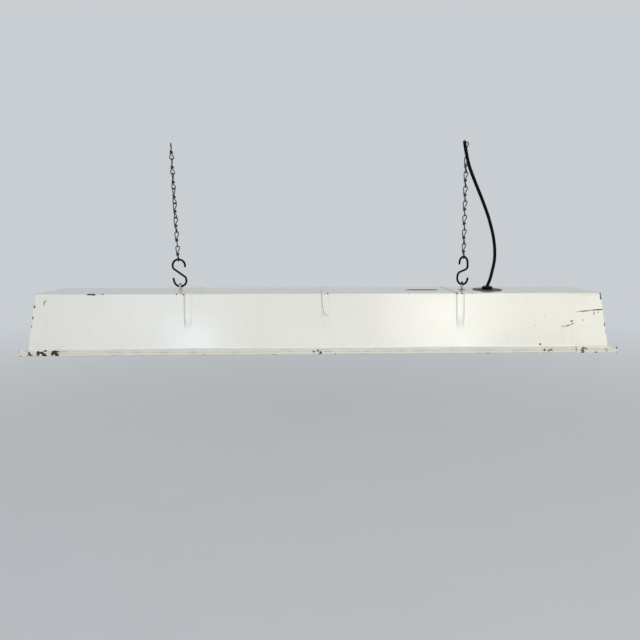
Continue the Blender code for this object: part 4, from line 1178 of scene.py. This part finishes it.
def build_eye(side, hanger):
    """Eye bolt through the top, with its washer and nut."""
    x = hanger.x
    centre_z = HEIGHT + hanger.eye_top - hanger.eye_d / 2
    radius = (hanger.eye_d - EYE_WIRE) / 2
    turn = Matrix.Rotation(math.radians(hanger.eye_turn), 3, "Z")
    angles = (2 * math.pi * (k + 0.5) / 56 for k in range(56))
    path = [Vector((x, 0, centre_z))
            + turn @ Vector((0, radius * math.cos(a), radius * math.sin(a))) for a in angles]
    ring = tube(path, EYE_WIRE / 2, 20, closed=True, wobble=0.12, seed=x)
    low = centre_z - radius
    # shank with rolled thread below and a swelling where it meets the ring
    profile = [(0, 136.0), (1.9, 136.0), (2.3, 136.5)]
    profile += thread_profile(crest=2.5, root=2.12, start=136.8, stop=149.6, pitch=0.8)
    profile += [(2.5, 150.0), (2.55, 150.9), (3.1, low - 1.1), (2.2, low + 0.8), (0, low + 1.0)]
    show("eye_" + side, merged([ring, turned(profile, 28, x)]), hanger.eye_slot,
         "eye_bolt_" + side, angle=34)
    z = ABOVE_TOP
    profile = rounded([(2.8, z), (9.0, z), (9.0, z + 0.5), (6.4, z + 1.15), (3.4, z + 1.2),
                       (2.8, z + 1.0)], 0.25, closed=True)
    show("washer_" + side, turned(profile, 56, x, ring=True, wobble=0.12), "zinc_plated_steel",
         "eye_washer_" + side, angle=40, materials=hanger.washer)
    show("nut_" + side, hex_nut(x, across=10.0, low=UNDER_TOP - 5.0, high=UNDER_TOP, bore=2.55),
         "zinc_plated_steel", "eye_nut_" + side, angle=30)


def hook_middle(hanger):
    pivot = HEIGHT + hanger.eye_top - EYE_WIRE / 2
    return pivot - (EYE_WIRE + HOOK_WIRE) / 2 - PLAY + hanger.hook_c + HOOK_R


def hook_half(hanger, stop, straight):
    """Upper half of a hook from its tip, round the bow and into the middle bend."""
    centre = hanger.hook_c
    stop_angle = math.radians(stop)
    end = Vector((-HOOK_SHIFT + HOOK_R * math.cos(stop_angle), 0,
                  centre + HOOK_R * math.sin(stop_angle)))
    tip = end + straight * Vector((math.sin(stop_angle), 0, -math.cos(stop_angle)))
    out = [tip.lerp(end, k / 8) for k in range(8)] if straight else []
    for k in range(55):
        a = math.radians(stop + (180.0 - stop) * k / 54)
        out.append(Vector((-HOOK_SHIFT + HOOK_R * math.cos(a), 0, centre + HOOK_R * math.sin(a))))
    bend = math.radians(hanger.bend)
    flank = -HOOK_SHIFT - HOOK_R
    low = (HOOK_R2 * math.sin(bend)
           - (flank + HOOK_R2 * (1 - math.cos(bend))) / math.tan(bend))
    if centre - low > 1.0:
        out += [Vector((flank, 0, centre + (low - centre) * k / 5)) for k in range(1, 6)]
    for k in range(1, 17):
        a = math.pi + bend * k / 16
        out.append(Vector((flank + HOOK_R2 * (1 + math.cos(a)), 0, low + HOOK_R2 * math.sin(a))))
    return out


def hook_turn(hanger, z):
    share = max(-1.0, min(1.0, z / hanger.hook_c))
    return Matrix.Rotation(math.radians(hanger.turn + hanger.twist / 2 * share), 4, "Z")


def hook_shift(hanger, z):
    """Sideways shift of a bow, turned with the hook."""
    return hook_turn(hanger, z) @ Vector((-HOOK_SHIFT, 0, 0))


def build_hook(side, hanger):
    upper = hook_half(hanger, *hanger.tips[0])
    lower = [Vector((-p.x, 0, -p.z)) for p in reversed(hook_half(hanger, *hanger.tips[1]))]
    path = upper + [upper[-1].lerp(lower[0], k / 12) for k in range(1, 12)] + lower
    at = Vector((hanger.x, 0, hook_middle(hanger))) + hook_shift(hanger, -hanger.hook_c)
    path = [hook_turn(hanger, p.z) @ p + at for p in path]

    def taper(share):
        return HOOK_WIRE / 2 * (1 - 0.10 * smoothstep((abs(share - 0.5) - 0.47) / 0.03))

    wire = tube(path, taper, 22, round_end=0.35, wobble=0.09, seed=hanger.seed)
    show("hook_wire_" + side, wire, "blackened_steel", "s_hook_" + side, body="hook_" + side,
         angle=50)


def link_half(half):
    """Half a link: a wrap of the knot, then a loop out to the tip and back."""
    wrap = []
    for k in range(25):
        angle = math.radians(-180 + 360 * k / 24)
        wrap.append(Vector((KNOT_R * math.cos(angle), KNOT_R * math.sin(angle),
                            KNOT_Z + KNOT_RISE * k / 24)))
    centre = half - LINK_R
    top, core = KNOT_Z + KNOT_RISE, 4.9
    rise, fall = centre - top, centre - core
    tail = [Vector((-KNOT_R - 0.1, 0.05, top + 0.11 * rise)),
            Vector((-KNOT_R - 0.35, 0, top + 0.3 * rise)),
            Vector((-0.5 * (KNOT_R + 0.35 + LINK_R) - 0.1, 0, top + 0.65 * rise))]
    for k in range(6):
        angle = math.radians(180 - 36 * k)
        tail.append(Vector((LINK_R * math.cos(angle), 0, centre + LINK_R * math.sin(angle))))
    # (share of the loop's radius, share of the way up from the core)
    for across, up in ((0.80, 0.67), (0.55, 0.42), (0.17, 0.15), (0, 0)):
        tail.append(Vector((across * LINK_R, 0, core + up * fall)))
    return wrap[:-1] + smooth_path([wrap[-1]] + tail, 0.9)


def link_curve():
    up = link_half(LINK_HALF - WAIST)
    down = [Vector((-p.y, -p.x, -p.z)) for p in reversed(link_half(LINK_HALF + WAIST))]
    out = []
    for p in up + [up[-1].lerp(down[0], k / 8) for k in range(1, 8)] + down:
        share = p.z / (LINK_HALF - WAIST if p.z > 0 else LINK_HALF + WAIST)
        out.append(Vector((p.x + WAIST_X * (1 - share * share) ** 2, p.y, p.z + WAIST)))
    return out


def build_chain(side, hanger):
    shift = hook_shift(hanger, -hanger.hook_c) + hook_shift(hanger, hanger.hook_c)
    hang = Vector((hanger.x + shift.x, shift.y, hook_middle(hanger) + hanger.hook_c + HOOK_R))
    run = Matrix.Translation(hang) @ Matrix.Rotation(math.radians(CHAIN_LEAN), 4, "Y")
    crest, wire_below = 0.0, HOOK_WIRE
    for i, twist in enumerate(hanger.links):
        foot = crest - (wire_below + LINK_WIRE) / 2 - PLAY
        place = (run @ Matrix.Translation((0, 0, foot + LINK_HALF))
                 @ Matrix.Rotation(math.radians(twist), 4, "Z"))
        tag = "%s_%d" % (side, i + 1)
        show("wire_link_" + tag,
             tube([place @ p for p in link_curve()], LINK_WIRE / 2, 12, round_end=0.3,
                  wobble=0.05, seed=i * 2.3),
             "galvanised_wire", "chain_link_" + tag, body="link_" + tag, angle=60)
        crest = foot + 2 * LINK_HALF
        wire_below = LINK_WIRE


for build in (build_eye, build_hook, build_chain):
    for side, hanger in HANGERS.items():
        build(side, hanger)

# ============================================================== cable entry
PLATE_H = 1.2
GLAND_HEX_H = 2.5
GLAND_Z = ABOVE_TOP + PLATE_H + GAP
DOME_Z = GLAND_Z + GLAND_HEX_H + GAP
CABLE_R = 4.0


def build_plate():
    z = ABOVE_TOP
    profile = rounded([
        (8.3, z + 0.1), (37.2, z + 0.1), (38.0, z + 0.48), (37.8, z + 1.25), (34.5, z + 1.32),
        (32.5, z + 1.18), (14.0, z + PLATE_H), (8.3, z + PLATE_H)], 0.4, closed=True)
    show("entry_plate", turned(profile, 128, ENTRY_X, ring=True), "grey_zinc_disc",
         "cable_entry_disc", angle=30)


def build_gland():
    """Barrel, ribbed dome nut, seal and locknut."""
    hexagon = hex_nut(ENTRY_X, across=27.0, low=GLAND_Z, high=GLAND_Z + GLAND_HEX_H, bore=6.3,
                      turn=0.3, chamfer=0.10, grooves=False)
    profile = [(6.3, 136.0), (7.5, 136.0), (7.9, 136.5)]
    profile += thread_profile(crest=8.0, root=7.45, start=137.0, stop=149.0, pitch=1.5)
    profile += [(8.0, 149.4), (8.0, GLAND_Z + 0.6), (6.3, GLAND_Z + 0.6)]
    stem = turned(profile, 48, ENTRY_X, ring=True)
    show("gland_barrel", merged([hexagon, stem]), "black_nylon", "gland_body", angle=30)

    # (radius, height above the dome's foot)
    dome = [(6.9, 0), (13.6, 0), (13.95, 0.4), (14.05, 2.3), (13.5, 3.1), (12.4, 3.9),
            (11.0, 4.7), (9.4, 5.35), (7.4, 5.8), (5.7, 5.95), (5.0, 5.6), (4.9, 4.4), (6.9, 3.4)]
    profile = rounded([(r, DOME_Z + z) for r, z in dome], 0.3, steps=2, closed=True)
    blank = turned(profile, 72, ENTRY_X, ring=True)
    ribs = []
    for k in range(96):
        angle = 2 * math.pi * k / 96
        reach = 13.5 + 0.75 * smoothstep((0.5 + 0.5 * math.cos(12 * angle)) * 1.5)
        ribs.append((ENTRY_X + reach * math.cos(angle), reach * math.sin(angle)))
    show("dome_nut", merged([blank, prism(ribs, DOME_Z - 1, DOME_Z + 10)], "INTERSECT"),
         "black_nylon", "gland_dome_nut", body="gland_nut", angle=34)

    profile = rounded([(4.3, GLAND_Z - 3.0), (6.0, GLAND_Z - 3.0), (6.0, DOME_Z + 2.7),
                       (4.3, DOME_Z + 3.2)], 0.3, closed=True)
    show("seal_ring", turned(profile, 40, ENTRY_X, ring=True), "black_rubber", "gland_seal")
    locknut = hex_nut(ENTRY_X, across=22.0, low=UNDER_TOP - 4.5, high=UNDER_TOP, bore=8.3,
                      turn=0.1, chamfer=0.10)
    show("locknut", locknut, "black_nylon", "gland_locknut", angle=30)


def cable_line():
    inside = [(416.5, -40, 138), (421, -36, 133.5), (431, -22, 128), (441, -7, 127),
              (ENTRY_X, 0, 133), (ENTRY_X, 0, 141), (ENTRY_X, 0, HEIGHT + 4)]
    # above the hood: (x from the entry, height above the top)
    climb = [(0.5, 12.0), (3.6, 20.0), (6.8, 32.0), (10.4, 54.0), (12.8, 75.0), (12.0, 96.0),
             (8.6, 117.0), (3.3, 138.0), (-3.9, 159.0), (-12.1, 179.0), (-21.1, 199.0),
             (-42.3, 238.5), (-64.4, 276.5), (-84.8, 313.5), (-98.8, 349.0), (-105.0, 368.0)]
    above = [(ENTRY_X + x, -90.0 * (rise / 391.0) ** 1.6, HEIGHT + rise) for x, rise in climb]
    return smooth_path(inside, 1.6)[:-1] + smooth_path([inside[-1]] + above, 3.2)


def build_cable():
    """Sheathed cable, hollowed at its upper end to show three stripped cores."""
    line = cable_line()
    end = line[-1]
    way = (end - line[-2]).normalized()
    socket = tube([end - way * 2.4, end + way * 3.0], 3.05, 28, round_end=0)
    show("cable", merged([tube(line, CABLE_R, 28, round_end=0.06), socket], "DIFFERENCE"),
         "cable_sheath", "mains_cable", angle=50)
    side = way.orthogonal().normalized()
    cores = (("brown", (0.12, 0.045, 0.02)), ("blue", (0.03, 0.12, 0.36)),
             ("green", (0.16, 0.30, 0.05)))
    for k, (tag, colour) in enumerate(cores):
        angle = 2 * math.pi * k / 3 + 0.4
        base = end + 1.55 * (math.cos(angle) * side + math.sin(angle) * way.cross(side))
        longer = 0.3 * k
        sleeve = [base + way * at for at in (-2.2, -1.0, 0.5, 1.2 + longer)]
        strand = [base + way * (at + longer) for at in (1.55, 2.6, 3.4)]
        material = plastic("core_" + tag, base=colour, other=tuple(c * 0.8 for c in colour),
                           rough=0.4, scale=500.0)
        show("cable_core_" + tag, tube(sleeve, 1.25, 20, round_end=0.25), "cable_sheath",
             angle=50, materials=[material])
        show("cable_strand_" + tag, tube(strand, 0.62, 14, round_end=0.3, wobble=0.12),
             "cable_sheath", angle=50, materials=[COPPER])


build_plate()
build_gland()
build_cable()

# =========================================================== terminal block
BLOCK_X0, BLOCK_X1, BLOCK_Y0, BLOCK_Y1 = 383.0, 413.0, -50.0, -28.0
POLE_Y = [BLOCK_Y1 - 3.7 - 7.3 * k for k in range(3)]
SCREW_X = (BLOCK_X0 + 7.0, BLOCK_X1 - 7.0)


def block_body():
    """Three poles hanging from a common strip, waisted in the middle."""
    top = UNDER_TOP
    outline = [(BLOCK_Y0, top), (BLOCK_Y1, top), (BLOCK_Y1, top - 6)]
    for y in POLE_Y:
        outline += [(y + 2.4, top - 6), (y + 2.4, top - 11), (y - 2.4, top - 11),
                    (y - 2.4, top - 6)]
    outline = rounded(outline + [(BLOCK_Y0, top - 6)], 0.6, closed=True)
    mid_y, mid_z = (BLOCK_Y0 + BLOCK_Y1) / 2, top - 4.0
    rows = []
    # (x from the block's end, shrink about the middle, waist)
    for at, shrink, waist in ((0.0, 0.965, 0), (0.4, 1, 0), (13.0, 1, 0), (13.6, 1, 0.9),
                              (16.4, 1, 0.9), (17.0, 1, 0),
                              (BLOCK_X1 - BLOCK_X0 - 0.4, 1, 0),
                              (BLOCK_X1 - BLOCK_X0, 0.965, 0)):
        row = []
        for y, z in outline:
            if z <= top - 6.4:
                z += waist * (1 if z < top - 8 else 0.3)
            row.append((BLOCK_X0 + at, mid_y + (y - mid_y) * shrink,
                        mid_z + (z - mid_z) * shrink))
        rows.append(row)
    holes = [prism(circle(x, y, 1.55, 20), top - 13.0, top - 7.4) for y in POLE_Y
             for x in SCREW_X]
    return merged([recalc(loft(rows))] + holes, "DIFFERENCE")


def build_terminals():
    show("terminal_body", block_body(), "terminal_plastic", "terminal_block", angle=34)
    low, high = UNDER_TOP - 9.6, UNDER_TOP - 7.45
    for k, y in enumerate(POLE_Y):
        for j, x in enumerate(SCREW_X):
            head = turned([(0, low), (1.15, low), (1.35, low + 0.25), (1.35, high), (0, high)],
                          24, x, y)
            cut = slab([(x - 2, y - 0.22, low - 0.6), (x + 2, y - 0.22, low - 0.6),
                        (x + 2, y + 0.22, low - 0.6), (x - 2, y + 0.22, low - 0.6)],
                       (0, 0, 1.1))
            bmesh.ops.rotate(cut, cent=(x, y, low), verts=cut.verts,
                             matrix=Matrix.Rotation(0.5 + k + 2 * j, 3, "Z"))
            show("terminal_screw_%d" % (2 * k + j + 1), merged([head, cut], "DIFFERENCE"),
                 "brass", angle=30)


build_terminals()

# ==================================================================== lamps
LAMP_X = {"left": -500.0, "centre": 0.0, "right": 500.0}
BRACKET_Z, STRIP = 139.7, 1.2       # underside of a bracket, and its thickness
HOLDER_H, HOLDER_D = 44.0, 46.0
HOLDER_TOP = BRACKET_Z - GAP
HOLDER_LOW = HOLDER_TOP - HOLDER_H
BULB_TOP, BULB_LEN, BULB_D = 118.0, 106.0, 60.0
CAP_LOW = BULB_TOP - 27.0
THREAD_PITCH, THREAD_SIDES = 3.62, 56


def thread_rows(radius, depth, low, high, steps, lamp_x):
    """Rows of a surface carrying a rolled helical thread, fading out at both ends."""
    out = []
    for j in range(steps + 1):
        z = low + (high - low) * j / steps
        fade = smoothstep((z - low) / 2.0) * smoothstep((high - z) / 2.0)
        row = []
        for k in range(THREAD_SIDES):
            angle = 2 * math.pi * k / THREAD_SIDES
            reach = radius + depth * fade * math.cos(2 * math.pi * z / THREAD_PITCH - angle)
            row.append((lamp_x + reach * math.cos(angle), reach * math.sin(angle), z))
        out.append(row)
    return out


def build_strap(tag, lamp_x):
    """Folded strip bracket with rounded bends and a round hole."""
    top, low = UNDER_TOP, BRACKET_Z + STRIP
    line = fillet_line([(-36, top), (-21.4, top), (-21.4, low), (21.4, low), (21.4, top),
                        (36, top)], radii=[0, 2.2, 1.2, 1.2, 2.2, 0], steps=[6, 3, 8, 3, 6],
                       arc=5)
    ring = [(x, z) for x, z, *_ in line]
    ring += [(x - STRIP * out_x, z - STRIP * out_z) for x, z, out_x, out_z in reversed(line)]
    strip = recalc(loft([[(lamp_x + x, y, z) for x, z in ring]
                         for y in (-12.0, -11.75, -11.0, 0.0, 11.0, 11.75, 12.0)]))
    hole = prism(circle(lamp_x, 0, 5.3, 36), BRACKET_Z - 2, BRACKET_Z + 5)
    show("strap_" + tag, merged([strip, hole], "DIFFERENCE"), "zinc_plated_steel",
         "lamp_bracket_" + tag, angle=30)


def build_holder(tag, lamp_x):
    """Glazed porcelain body, its threaded brass shell and centre contact."""
    top, low, radius = HOLDER_TOP, HOLDER_LOW, HOLDER_D / 2
    profile = [
        (4.4, top + 6.0), (4.9, top + 5.4), (4.9, top + 0.2), (15.0, top), (17.2, top - 0.6),
        (19.2, top - 3.2), (20.2, top - 9.0), (20.4, top - 15.0), (radius - 1.6, top - 17.2),
        (radius, top - 19.6), (radius, top - 26.0), (radius - 0.5, top - 27.0),
        (radius - 0.5, top - 28.2), (radius, top - 29.2), (radius, low + 1.6),
        (radius - 1.6, low), (16.4, low), (15.2, low + 1.0), (15.2, BULB_TOP + 7.0)]
    profile = [(0, top + 6.0)] + rounded(profile, 0.9, steps=4) + [(0, BULB_TOP + 7.0)]
    show("holder_" + tag, turned(profile, 72, lamp_x), "porcelain", "lampholder_" + tag,
         angle=42)

    outer, inner = (thread_rows(radius=r, depth=0.28, low=low + 3.0, high=BULB_TOP + 5.5,
                                steps=44, lamp_x=lamp_x) for r in (14.45, 13.95))
    show("shell_" + tag, recalc(loft(outer + inner[::-1], ring=True)), "brass",
         "threaded_shell_" + tag, angle=60)

    profile = rounded([(0.0, BULB_TOP + GAP), (3.2, BULB_TOP + GAP), (4.6, BULB_TOP + 3.4),
                       (4.6, BULB_TOP + 6.6)], 0.6) + [(0, BULB_TOP + 6.6)]
    show("contact_" + tag, turned(profile, 32, lamp_x), "brass", "centre_contact_" + tag,
         angle=34)


def build_cap(tag, lamp_x):
    """Bulb cap: rolled thread outside, plain cup inside."""
    def rings(base, table):
        """Plain rows from (radius, height above the base)."""
        return [[(x, y, base + z) for x, y in circle(lamp_x, 0, r, THREAD_SIDES)]
                for r, z in table]

    rows = rings(BULB_TOP, [(4.2, -0.02), (4.6, -0.5), (4.8, -1.6), (7.6, -3.2), (10.4, -4.6),
                            (11.9, -5.6)])
    rows += thread_rows(radius=12.72, depth=0.44, low=CAP_LOW + 5.0, high=BULB_TOP - 6.4,
                        steps=40, lamp_x=lamp_x)[::-1]
    rows += rings(CAP_LOW, [(12.85, 4.4), (13.1, 3.6), (13.2, 0.4), (13.1, 0), (12.75, 0.02),
                            (12.5, 4.0), (11.7, 6.2)])
    rows += rings(BULB_TOP, [(11.6, -7.0), (8.0, -5.4)])
    cap = loft(rows, poles=((lamp_x, 0, BULB_TOP), (lamp_x, 0, BULB_TOP - 5.4)))
    show("cap_" + tag, recalc(cap), "bulb_cap_metal", "bulb_cap_" + tag, body="bulb_" + tag,
         angle=50)


def build_glass(tag, lamp_x):
    """Opal envelope: a sphere running smoothly into the neck."""
    radius, neck_r = BULB_D / 2, 12.3
    bottom = BULB_TOP - BULB_LEN
    profile = [(0, bottom)]
    for k in range(1, 37):
        angle = math.radians(-90 + 120 * k / 36)
        profile.append((radius * math.cos(angle), bottom + radius + radius * math.sin(angle)))
    start_r, start_z = profile[-1]
    neck_z = CAP_LOW - 0.4
    rise = neck_z - start_z
    slope = -math.tan(math.radians(30))
    for k in range(1, 19):   # cubic from the sphere's slope to an upright neck
        t = k / 18
        profile.append(((2 * t ** 3 - 3 * t ** 2 + 1) * start_r
                        + (t ** 3 - 2 * t ** 2 + t) * slope * rise
                        + (-2 * t ** 3 + 3 * t ** 2) * neck_r, start_z + rise * t))
    profile += [(12.0, neck_z + 0.3), (11.1, CAP_LOW + 7.0), (11.1, BULB_TOP - 7.8),
                (0, BULB_TOP - 6.2)]
    show("bulb_" + tag, turned(profile, 64, lamp_x), "opal_glass", "bulb_glass_" + tag,
         body="bulb_" + tag, angle=50)


def build_wire(tag, start_x, start_y):
    """Sleeved wire from the terminal block along the hood and down into a lampholder."""
    z = 144.2
    lamp_x = LAMP_X[tag]
    way = 1 if lamp_x > start_x else -1
    near, far = Vector((start_x + way * 8, start_y, z)), Vector((lamp_x - way * 30, start_y, z))
    drop = [far, (lamp_x - way * 14, start_y + 3, z), (lamp_x - way * 4, -27, z - 0.2),
            (lamp_x, -18.4, z - 1.6), (lamp_x, -16.6, BRACKET_Z + 0.1)]
    count = max(2, int(abs(far.x - near.x) / 12))
    path = [Vector((start_x, start_y, z)), near]
    for k in range(1, count):
        p = near.lerp(far, k / count)
        path.append(p + Vector((0, 0.7 * ripple(p.x / 38.0, 2.0, 0),
                                0.9 * ripple(p.x / 52.0, 7.0, 0))))
    show("wire_" + tag, tube(path + smooth_path(drop, 1.6), 1.4, 14, round_end=0.2),
         "wire_sleeve", "lamp_wire_" + tag, angle=50)


for tag, lamp_x in LAMP_X.items():
    for build in (build_strap, build_holder, build_cap, build_glass):
        build(tag, lamp_x)
build_wire("left", BLOCK_X0 - GAP, -42.6)
build_wire("centre", BLOCK_X0 - GAP, -35.4)
build_wire("right", BLOCK_X1 + GAP, -46.0)

# ========================================================= stage, in metres
SKY = (0.585, 0.618, 0.648)
FLOOR_Z = -0.75
FLOOR_RINGS = (0.6, 1.2, 2.0, 3.2, 5.0, 8.0, 14.0, 24.0, 60.0)


def build_world():
    """A studio that is dimmer overhead than at the horizon."""
    world = bpy.data.worlds.new("studio")
    bpy.context.scene.world = world
    world.use_nodes = True
    nodes, links = world.node_tree.nodes, world.node_tree.links
    background = nodes["Background"]
    background.inputs["Strength"].default_value = 1.0
    coords = nodes.new("ShaderNodeTexCoord")
    split = nodes.new("ShaderNodeSeparateXYZ")
    height = nodes.new("ShaderNodeMapRange")
    height.inputs["From Min"].default_value = 0.50
    height.inputs["From Max"].default_value = 0.85
    mix = nodes.new("ShaderNodeMix")
    mix.data_type = "RGBA"
    mix.inputs["A"].default_value = (*SKY, 1.0)
    mix.inputs["B"].default_value = (*[c * 0.72 for c in SKY], 1.0)
    links.new(coords.outputs["Generated"], split.inputs[0])
    links.new(split.outputs["Z"], height.inputs["Value"])
    links.new(height.outputs["Result"], mix.inputs["Factor"])
    links.new(mix.outputs["Result"], background.inputs["Color"])


def floor_material():
    """Pale floor that runs into the studio's own light far away."""
    mat = Material("studio_floor")
    colour = mat.mix(mat.ramp(mat.noise(scale=2.4), start=0.3, end=0.7),
                     (0.795, 0.795, 0.785), (0.805, 0.805, 0.795))
    mat.set(Base_Color=colour, Roughness=mat.ramp(mat.noise(scale=40.0), start=0.3, end=0.7,
                                                  low=0.55, high=0.7))
    glow = mat.node("Emission")
    glow.inputs["Color"].default_value = (*SKY, 1.0)
    mix = mat.node("MixShader")
    mat.put(mix.inputs[0], mat.ramp(mat.vector_math("LENGTH", mat.co), start=1.2, end=6.5))
    mat.put(mix.inputs[1], mat.bsdf.outputs[0])
    mat.put(mix.inputs[2], glow.outputs[0])
    mat.put(mat.out.inputs[0], mix.outputs[0])
    return mat.data


def build_floor():
    bm = bmesh.new()
    centre = bm.verts.new((0, 0, FLOOR_Z))
    rows = [[bm.verts.new((x, y, FLOOR_Z)) for x, y in circle(0, 0, r, 64)]
            for r in FLOOR_RINGS]
    for k in range(64):
        bm.faces.new((centre, rows[0][k], rows[0][(k + 1) % 64]))
    for near, far in zip(rows, rows[1:]):
        for k in range(64):
            after = (k + 1) % 64
            bm.faces.new((near[k], far[k], far[after], near[after]))
    mesh = to_mesh("studio_floor", bm)
    mesh.materials.append(floor_material())
    add_object("studio_floor", mesh)


def area(name, at, aim, size, power, colour, glint=False):
    """Area light; a glint only shows in reflections."""
    light = bpy.data.lights.new(name, "AREA")
    light.shape = "RECTANGLE"
    light.size, light.size_y = size
    light.energy = power
    light.color = colour
    ob = add_object(name, light)
    ob.location = at
    ob.rotation_mode = "QUATERNION"
    ob.rotation_quaternion = (Vector(aim) - Vector(at)).to_track_quat("-Z", "Y")
    if glint:
        ob.visible_diffuse = False
        ob.visible_camera = False


def build_camera():
    data = bpy.data.cameras.new("camera")
    data.sensor_width = 36.0
    data.lens = 27.984375
    data.clip_start, data.clip_end = 0.05, 200.0
    camera = add_object("camera", data)
    camera.location = (-0.0422, -1.3255, 0.2905)
    yaw, pitch = math.radians(1.64), math.radians(9.49)
    camera.rotation_euler = (math.pi / 2 - pitch, 0.0, -yaw)
    scene = bpy.context.scene
    scene.camera = camera
    scene.view_settings.view_transform = "Standard"
    scene.view_settings.look = "None"


build_world()
build_floor()
area("key_soft", at=(1.35, -2.9, 0.95), aim=(0.2, 0.0, 0.05), size=(1.5, 1.5), power=16.2,
     colour=(1.0, 0.965, 0.825))
area("fill_soft", at=(-1.5, -2.7, 0.9), aim=(-0.2, 0.0, 0.05), size=(1.3, 1.6), power=4.9,
     colour=(0.24, 0.47, 1.0))
area("front_soft", at=(0.0, -4.2, 1.2), aim=(0.0, 0.0, 0.05), size=(4.5, 2.2), power=42.0,
     colour=(0.83, 0.83, 1.0))
area("glint_warm", at=(1.10, -2.88, 0.29), aim=(0.33, -0.09, 0.05), size=(0.42, 0.62),
     power=2.5, colour=(0.98, 0.97, 0.92), glint=True)
area("glint_cool", at=(-0.96, -2.88, 0.27), aim=(-0.32, -0.09, 0.04), size=(0.40, 0.38),
     power=2.5, colour=(0.60, 0.84, 1.0), glint=True)
area("glint_end", at=(2.46, -2.88, 0.40), aim=(0.73, -0.09, 0.07), size=(0.44, 0.74),
     power=3.0, colour=(1.0, 0.94, 0.84), glint=True)
build_camera()
